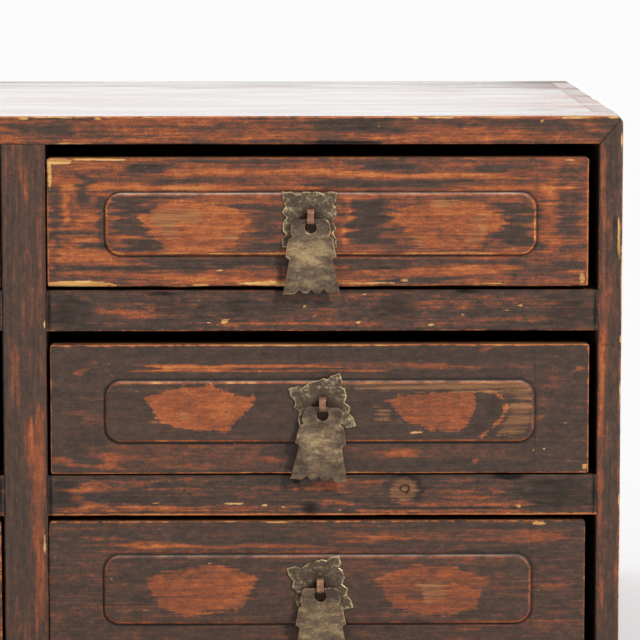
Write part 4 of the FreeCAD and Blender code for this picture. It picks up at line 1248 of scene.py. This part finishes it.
# %% Marks of the bottom left front
FRONTS["drawer_bottom_left"] = dict(
    base=0.45, streak=0.85, panel_off=(0.4, 0.2), under=0.5,
    rim=(0.25, 0.35, 0.25), gleam=0.5, edge=(0.6, 0.5, 0.6),
    smears=stray_smears(34, 22, 125, 30, 0.26),
    patches=[([(a - 4, -b) for a, b in HEXAGON], 0.64), ([(-a, -b) for a, b in HEXAGON], 0.67)],
    tans=[([(-72, 5), (-58, 8), (-50, -3), (-64, -8)], -0.8)],
    chips=[(-126, -33, 8, 0.6), (70, 33.4, 5, 0.4)], dirt_and_shade=[(-40, -24, 4, 1.2, 0.4)],
)

# %% Make the fronts
for count, (front_name, marks) in enumerate(FRONTS.items()):
    drawer_face(front_name, 301 + 20 * count, **marks)


# %% [markdown]
# ## Old brass
#
# The plates are cut from sheet brass and the drops are cast. Air has turned them olive
# brown, fingers keep the high places yellower, and the plates are pitted and dark, with
# painted shade making them nearly black round the pin hole behind the drops. The pale
# strips along the rims are rubbed brass with a painted highlight, and the rings round the
# holes are painted highlights. Brass is a metal, so its colour is in its reflection; the
# patina is a dull film over it.

# %% Brass materials
def old_brass(name, dark, middle, light, clouded, pitted):
    """Patinated brass: brushed clouds 4 mm high and 10 mm long, and pits 1.6 mm wide."""
    material, tree = new_material(name)
    place = add_node(tree, "TexCoord", out="Object")
    cloud, pits = [
        add_node(tree, "TexNoise", {
            "Vector": add_node(tree, "Mapping", {"Vector": place, "Scale": drawn_out("x", times)}),
            "Scale": 1 / size, "Detail": detail, "Roughness": 0.7})
        for times, size, detail in ((2.5, 4.0, 6.0), (1, 1.6, 4.0))]
    # The mesh's map lightens rubbed brass and painted highlights, and darkens dirt and painted shade.
    rub_highlight_and_shade = add_node(tree, "Attribute", out="Fac", attribute_name="rub_highlight_and_shade")
    tone = with_noises(tree, 0.5, ((cloud, clouded), (pits, pitted)))
    tone = add_node(tree, "Math", {0: rub_highlight_and_shade, 1: 0.35, 2: tone}, operation="MULTIPLY_ADD")
    colour = add_node(tree, "ValToRGB", {"Fac": tone}, stops=[
        (0.30, dark), (0.52, middle), (0.80, light)])
    normal = add_node(tree, "Bump", {"Height": tone, "Strength": 0.5, "Distance": 0.0004})
    rough = add_node(tree, "MapRange", {
        "Value": tone, "From Min": 0.3, "From Max": 0.8, "To Min": 0.62, "To Max": 0.38})
    metal = add_node(tree, "MapRange", {
        "Value": tone, "From Min": 0.3, "From Max": 0.7, "To Min": 0.35, "To Max": 0.85})
    shader = add_node(tree, "BsdfPrincipled", {
        "Base Color": colour, "Metallic": metal, "Roughness": rough, "Normal": normal})
    add_node(tree, "OutputMaterial", {"Surface": shader})
    return material


drop_brass = old_brass("cast brass with olive patina", "#4d3d33", "#7d6852", "#ccae82", 1.2, 0.45)
plate_brass = old_brass("pitted sheet brass, dark brown", "#45352a", "#6a5a47", "#ecd3a6", 0.85, 0.75)
pin_brass = old_brass("folded brass strip, rubbed pink", "#5c4030", "#a1755a", "#dcb48f", 1.0, 0.5)
forged_iron = old_brass("forged iron, slightly rusted", "#15110f", "#2b211c", "#5a3d2c", 1.0, 1.0)
metals = (drop_brass, plate_brass, pin_brass, forged_iron)
print("metals:", "; ".join(metal.name for metal in metals))

# %% [markdown]
# ## Plates and drops
#
# Both are flat pieces with a hole. Seen from the hole, a ray in any direction meets the
# outline once, so the whole piece is a grid in two parameters: the angle round the hole,
# and the way out from the hole over the front face, round the rim, and back behind. The
# grid closes on itself both ways, like a ring.

# %% Pierced sheet
def ray_to_outline(corners, angles):
    """Distance from the origin to a polygon along each angle.

    Solving origin + r * way = a + s * (b - a) for every side at once; of the sides met
    with s between 0 and 1 and r above 0, the nearest counts.
    """
    a = np.array(corners, float)
    b = np.roll(a, -1, 0)
    side = b - a
    way = np.stack([np.cos(angles), np.sin(angles)], 1)
    cross = way[:, None, 0] * side[None, :, 1] - way[:, None, 1] * side[None, :, 0]
    cross = np.where(np.abs(cross) < 1e-9, 1e-9, cross)
    r = (a[None, :, 0] * side[None, :, 1] - a[None, :, 1] * side[None, :, 0]) / cross
    s = (a[None, :, 0] * way[:, None, 1] - a[None, :, 1] * way[:, None, 0]) / cross
    met = (s > -1e-6) & (s < 1 + 1e-6) & (r > 0)
    return np.where(met, r, 1e9).min(1)


def pierced_sheet(corners, hole, thickness, rim, dent, seed):
    """Grid over a pierced sheet with its hole at the origin, facing -Y.

    Column: an angle, crowded at the corners of the outline. Row: from the hole over the
    front to the rim, round it, and back to the hole behind.
    """
    spread = np.linspace(0, 2 * np.pi, 361)[:-1]
    tips = np.arctan2(*np.array(corners, float).T[::-1]) % (2 * np.pi)
    angles = np.unique(np.concatenate([spread, tips, tips + 0.004, tips - 0.004]) % (2 * np.pi))
    outer = ray_to_outline(corners, angles)
    outer = outer - 0.5 * noise(angles * 14, 1.0, seed + 2)
    front = np.concatenate([[0.0, 0.02], np.linspace(0.07, 0.93, 16), [0.97, 1.0]])
    share = np.concatenate([front, front[::-2]])
    reach = hole + (outer[None, :] - hole) * share[:, None]
    half = thickness / 2
    level = np.concatenate([np.full(len(front), -half), np.full(len(front[::-2]), half)])
    bevel = np.zeros(len(share))
    bevel[[0, len(front) - 1]] = rim
    x = reach * np.cos(angles)
    z = reach * np.sin(angles)
    places = np.stack([x.ravel(), z.ravel()], 1)
    bumps = dent * (noise(places, 6.0, seed) - 0.5 + 0.5 * (noise(places, 2.0, seed + 1) - 0.5))
    y = (level + bevel)[:, None] + bumps.reshape(x.shape)
    points = np.stack([x, y, z], -1).reshape(-1, 3)
    rows, columns = x.shape
    number = np.arange(rows * columns).reshape(rows, columns)
    right = np.roll(number, -1, 1)
    below = np.roll(number, -1, 0)
    corner = np.roll(right, -1, 0)
    quads = np.stack([number, right, corner, below], -1).reshape(-1, 4)
    # Rubbed brass with a painted highlight along the rim, broken along its run, and a painted highlight
    # on the front edge of the hole.
    broken = 0.2 + 1.3 * noise(angles * 14, 6.0, seed + 3)
    rub_highlight_and_shade = np.exp(-((outer[None, :] - reach) / 0.5) ** 2) * broken
    rub_highlight_and_shade += 0.6 * np.exp(-((reach - hole) / 0.3) ** 2) * (level[:, None] < 0)
    return points, quads, rub_highlight_and_shade.ravel()


def turned(points, degrees):
    """Turns points about the Y axis, anticlockwise as seen from the front."""
    a = math.radians(degrees)
    x, y, z = points.T
    return np.stack([x * math.cos(a) - z * math.sin(a), y, x * math.sin(a) + z * math.cos(a)], 1)


# %% Outlines of plate and drop
PLATE_MIDDLE = (-0.6, -1.8)         # of the plate, seen from the pin hole
DROP_FROM_HOLE = 4.0                # from the middle of the hole up to the top edge
PIN_HOLE, DROP_HOLE = 2.25, 3.0     # radii of the holes in a plate and in a drop
DENT = 0.1                          # depth of the dents, for which the sheet is made thinner


def plate_outline():
    """Square with small notches, listed anticlockwise from the upper right corner."""
    top = [(13.7, 14.1), (9.0, 14.0), (7.0, 13.0), (4.8, 14.1), (-2.7, 14.1), (-6.9, 12.3),
           (-8.8, 14.1), (-13.7, 14.1)]
    left = [(-13.7, 14.1), (-13.7, 10.2), (-12.2, 7.0), (-13.7, 4.0), (-11.7, 1.2), (-13.6, -1.8),
            (-13.7, -5.8), (-12.0, -7.6), (-13.7, -9.6), (-13.7, -14.1)]
    half = top[:-1] + left[:-1]
    ring = half + [(-x, -z) for x, z in half]
    return [(x + PLATE_MIDDLE[0], z + PLATE_MIDDLE[1]) for x, z in ring]


def drop_outline():
    """Flat head, a bite below the brow, a step, a notched foot; from the hole's middle."""
    half = [(8.0, 0), (9.6, 1.6), (10.2, 4.2), (10.2, 7.9), (9.3, 8.8), (11.4, 10.2), (12.9, 19.0),
            (10.8, 20.3), (14.4, 37.6)]
    foot = [(8.1, 37.5), (6.2, 35.6), (4.3, 37.4), (1.9, 37.6), (0, 35.6), (-1.9, 37.6),
            (-4.3, 37.4), (-6.2, 35.6), (-8.1, 37.5)]
    ring = half + foot + [(-a, b) for a, b in reversed(half)]
    return [(a, DROP_FROM_HOLE - b) for a, b in reversed(ring)]


# %% Pulls
PULLS = {
    # plate turn and drop lean in degrees, as in the CAD part
    "drawer_top_right": (0.0, 0.6), "drawer_middle_right": (17.0, -3.5),
    "drawer_bottom_right": (15.0, 1.0), "drawer_top_left": (3.0, 0.0),
    "drawer_middle_left": (-5.0, 1.5), "drawer_bottom_left": (6.0, -1.0),
}
for count, (drawer, (turn, lean)) in enumerate(PULLS.items()):
    pin_lo, pin_hi = box_mm(drawer + "_pull_pin")
    plate_lo, plate_hi = box_mm(drawer + "_pull_plate")
    drop_lo, drop_hi = box_mm(drawer + "_pull_drop")
    pin_x = (pin_lo[0] + pin_hi[0]) / 2
    pin_z = (pin_lo[2] + pin_hi[2]) / 2
    thick = plate_hi[1] - plate_lo[1] - DENT
    shape, quads, rub_highlight_and_shade = pierced_sheet(plate_outline(), PIN_HOLE, thick, 0.2, DENT, 501 + 10 * count)
    # Painted shade, with some trapped dirt: the plate darkens within about 5 mm of the pin hole, where
    # the drop hangs over it.
    rub_highlight_and_shade -= 1.6 * np.exp(-((shape[:, 0] ** 2 + (shape[:, 2] + 2) ** 2) / 25))
    shape = turned(shape, turn) + (pin_x, (plate_lo[1] + plate_hi[1]) / 2, pin_z)
    add_piece("dressed_" + drawer + "_pull_plate", shape, quads, drawer, [drawer + "_pull_plate"],
              [plate_brass], {"rub_highlight_and_shade": rub_highlight_and_shade})
    thick = drop_hi[1] - drop_lo[1] - DENT
    shape, quads, rub_highlight_and_shade = pierced_sheet(drop_outline(), DROP_HOLE, thick, 0.25, DENT, 506 + 10 * count)
    # Fingers keep the middle of a drop bright, 13 mm below its hole, and not its head.
    rub_highlight_and_shade += 0.65 * np.exp(-((shape[:, 2] + 13) / 7) ** 2 - (shape[:, 0] / 11) ** 2)
    rub_highlight_and_shade -= 0.15 + 0.3 * np.exp(-((shape[:, 2] - 1) / 5) ** 2)
    hinge = next(j for j in frame["joints"] if j["child"] == drawer.replace("drawer", "drop"))
    hinge_z = hinge["pos_m"][2] / MM
    shape = turned(shape, lean) + (pin_x, (drop_lo[1] + drop_hi[1]) / 2, hinge_z - DROP_FROM_HOLE)
    add_piece("dressed_" + drawer + "_pull_drop", shape, quads, drawer.replace("drawer", "drop"),
              [drawer + "_pull_drop"], [drop_brass], {"rub_highlight_and_shade": rub_highlight_and_shade})
print("pulls:", len(PULLS))


# %% [markdown]
# ## Finishes of the CAD solids that stay
#
# The hidden carpentry and the folded pins keep their CAD shape, and only take a finish.

# %% Carried-over nodes
FINISHES = {
    "pull_pin": pin_brass, "sides": raw_y, "back": raw_x, "bottom": raw_x,
    "partition": inner_y_wood, "side_runners_left": inner_y_wood,
    "side_runners_right": inner_y_wood, "partition_runners_left": inner_y_wood,
    "partition_runners_right": inner_y_wood, "bottom_guides": inner_y_wood,
    "back_plank_upper": inner_x_wood, "back_plank_lower": inner_x_other, "back_nails": forged_iron,
}
for node_name, solid in frame["nodes"].items():
    key = node_name.split("_", 3)[-1] if node_name.startswith("drawer_") else node_name
    if key in FINISHES:
        for material_slot in solid.material_slots:
            material_slot.material = FINISHES[key]
print("finishes for", len(FINISHES), "kinds of CAD node")

# %% [markdown]
# ## Floor, light and camera
#
# A pale floor, a white surround that is brighter behind the chest than in front of it,
# and one broad soft lamp from the upper right. The bright side behind is what makes the
# top shine almost white: at a glancing angle lacquer mirrors it.

# %% Floor
FLOOR_HALF = 60.0               # metres, so that its edge is far away in every view
floor_mesh = bpy.data.meshes.new("studio_floor")
floor_mesh.from_pydata(
    [(-FLOOR_HALF, -FLOOR_HALF, 0), (FLOOR_HALF, -FLOOR_HALF, 0),
     (FLOOR_HALF, FLOOR_HALF, 0), (-FLOOR_HALF, FLOOR_HALF, 0)], [], [(0, 1, 2, 3)])
floor = bpy.data.objects.new("studio_floor", floor_mesh)
bpy.context.scene.collection.objects.link(floor)
floor_paint, tree = new_material("matt white studio floor")
paint = add_node(tree, "BsdfPrincipled", {
    "Base Color": linear("#dadada"), "Roughness": 0.9, "Specular IOR Level": 0.1})
add_node(tree, "OutputMaterial", {"Surface": paint})
floor_mesh.materials.append(floor_paint)
print("floor:", 2 * FLOOR_HALF, "m wide")

# %% Surround and lamp
DARK_SIDE, BRIGHT_SIDE = 0.32, 1.75     # strength of the surround before and behind the chest
world = bpy.data.worlds.new("studio surround")
bpy.context.scene.world = world
world.use_nodes = True
tree = world.node_tree
tree.nodes.clear()
way = add_node(tree, "SeparateXYZ", {0: add_node(tree, "TexCoord", out="Generated")}, out="Y")
glow = add_node(tree, "MapRange", {
    "Value": way, "From Min": -0.75, "From Max": 1.0, "To Min": DARK_SIDE, "To Max": BRIGHT_SIDE},
    interpolation_type="SMOOTHSTEP")
background = add_node(tree, "Background", {"Color": linear("#ffffff"), "Strength": glow})
add_node(tree, "OutputWorld", {"Surface": background})

LAMP_STRENGTH = 2.15
LAMP_SPREAD = math.radians(6)           # soft shadows, as from a white umbrella
LAMP_TILT, LAMP_TURN = math.radians(52), math.radians(44)
lamp_data = bpy.data.lights.new("softbox", "SUN")
lamp_data.energy = LAMP_STRENGTH
lamp_data.angle = LAMP_SPREAD
lamp = bpy.data.objects.new("softbox", lamp_data)
lamp.rotation_euler = (LAMP_TILT, 0, LAMP_TURN)
bpy.context.scene.collection.objects.link(lamp)
bpy.context.scene.view_settings.view_transform = "Standard"
print("surround from", DARK_SIDE, "to", BRIGHT_SIDE, "and a lamp of", LAMP_STRENGTH)

# %% Camera
LENS = 207.6                # long, so that the box looks almost square on
SENSOR = 36.0
DISTANCE = 1845.0           # from the middle of the view, on the drawer fronts
DOWN = math.radians(6.7)
RIGHT = math.radians(0.9)   # the camera stands a little to the left and looks right
AIM = np.array([147.75, FRONT_Y, 186.0])
BACK = np.array([-math.sin(RIGHT) * math.cos(DOWN), -math.cos(RIGHT) * math.cos(DOWN), math.sin(DOWN)])
camera_data = bpy.data.cameras.new("camera")
camera_data.lens = LENS
camera_data.sensor_width = SENSOR
camera_data.clip_end = 200.0
camera = bpy.data.objects.new("camera", camera_data)
camera.location = (AIM + DISTANCE * BACK) * MM
camera.rotation_euler = (math.pi / 2 - DOWN, 0, -RIGHT)
bpy.context.scene.collection.objects.link(camera)
bpy.context.scene.camera = camera
print("camera at", [round(v, 3) for v in camera.location], "m, lens", LENS, "mm")
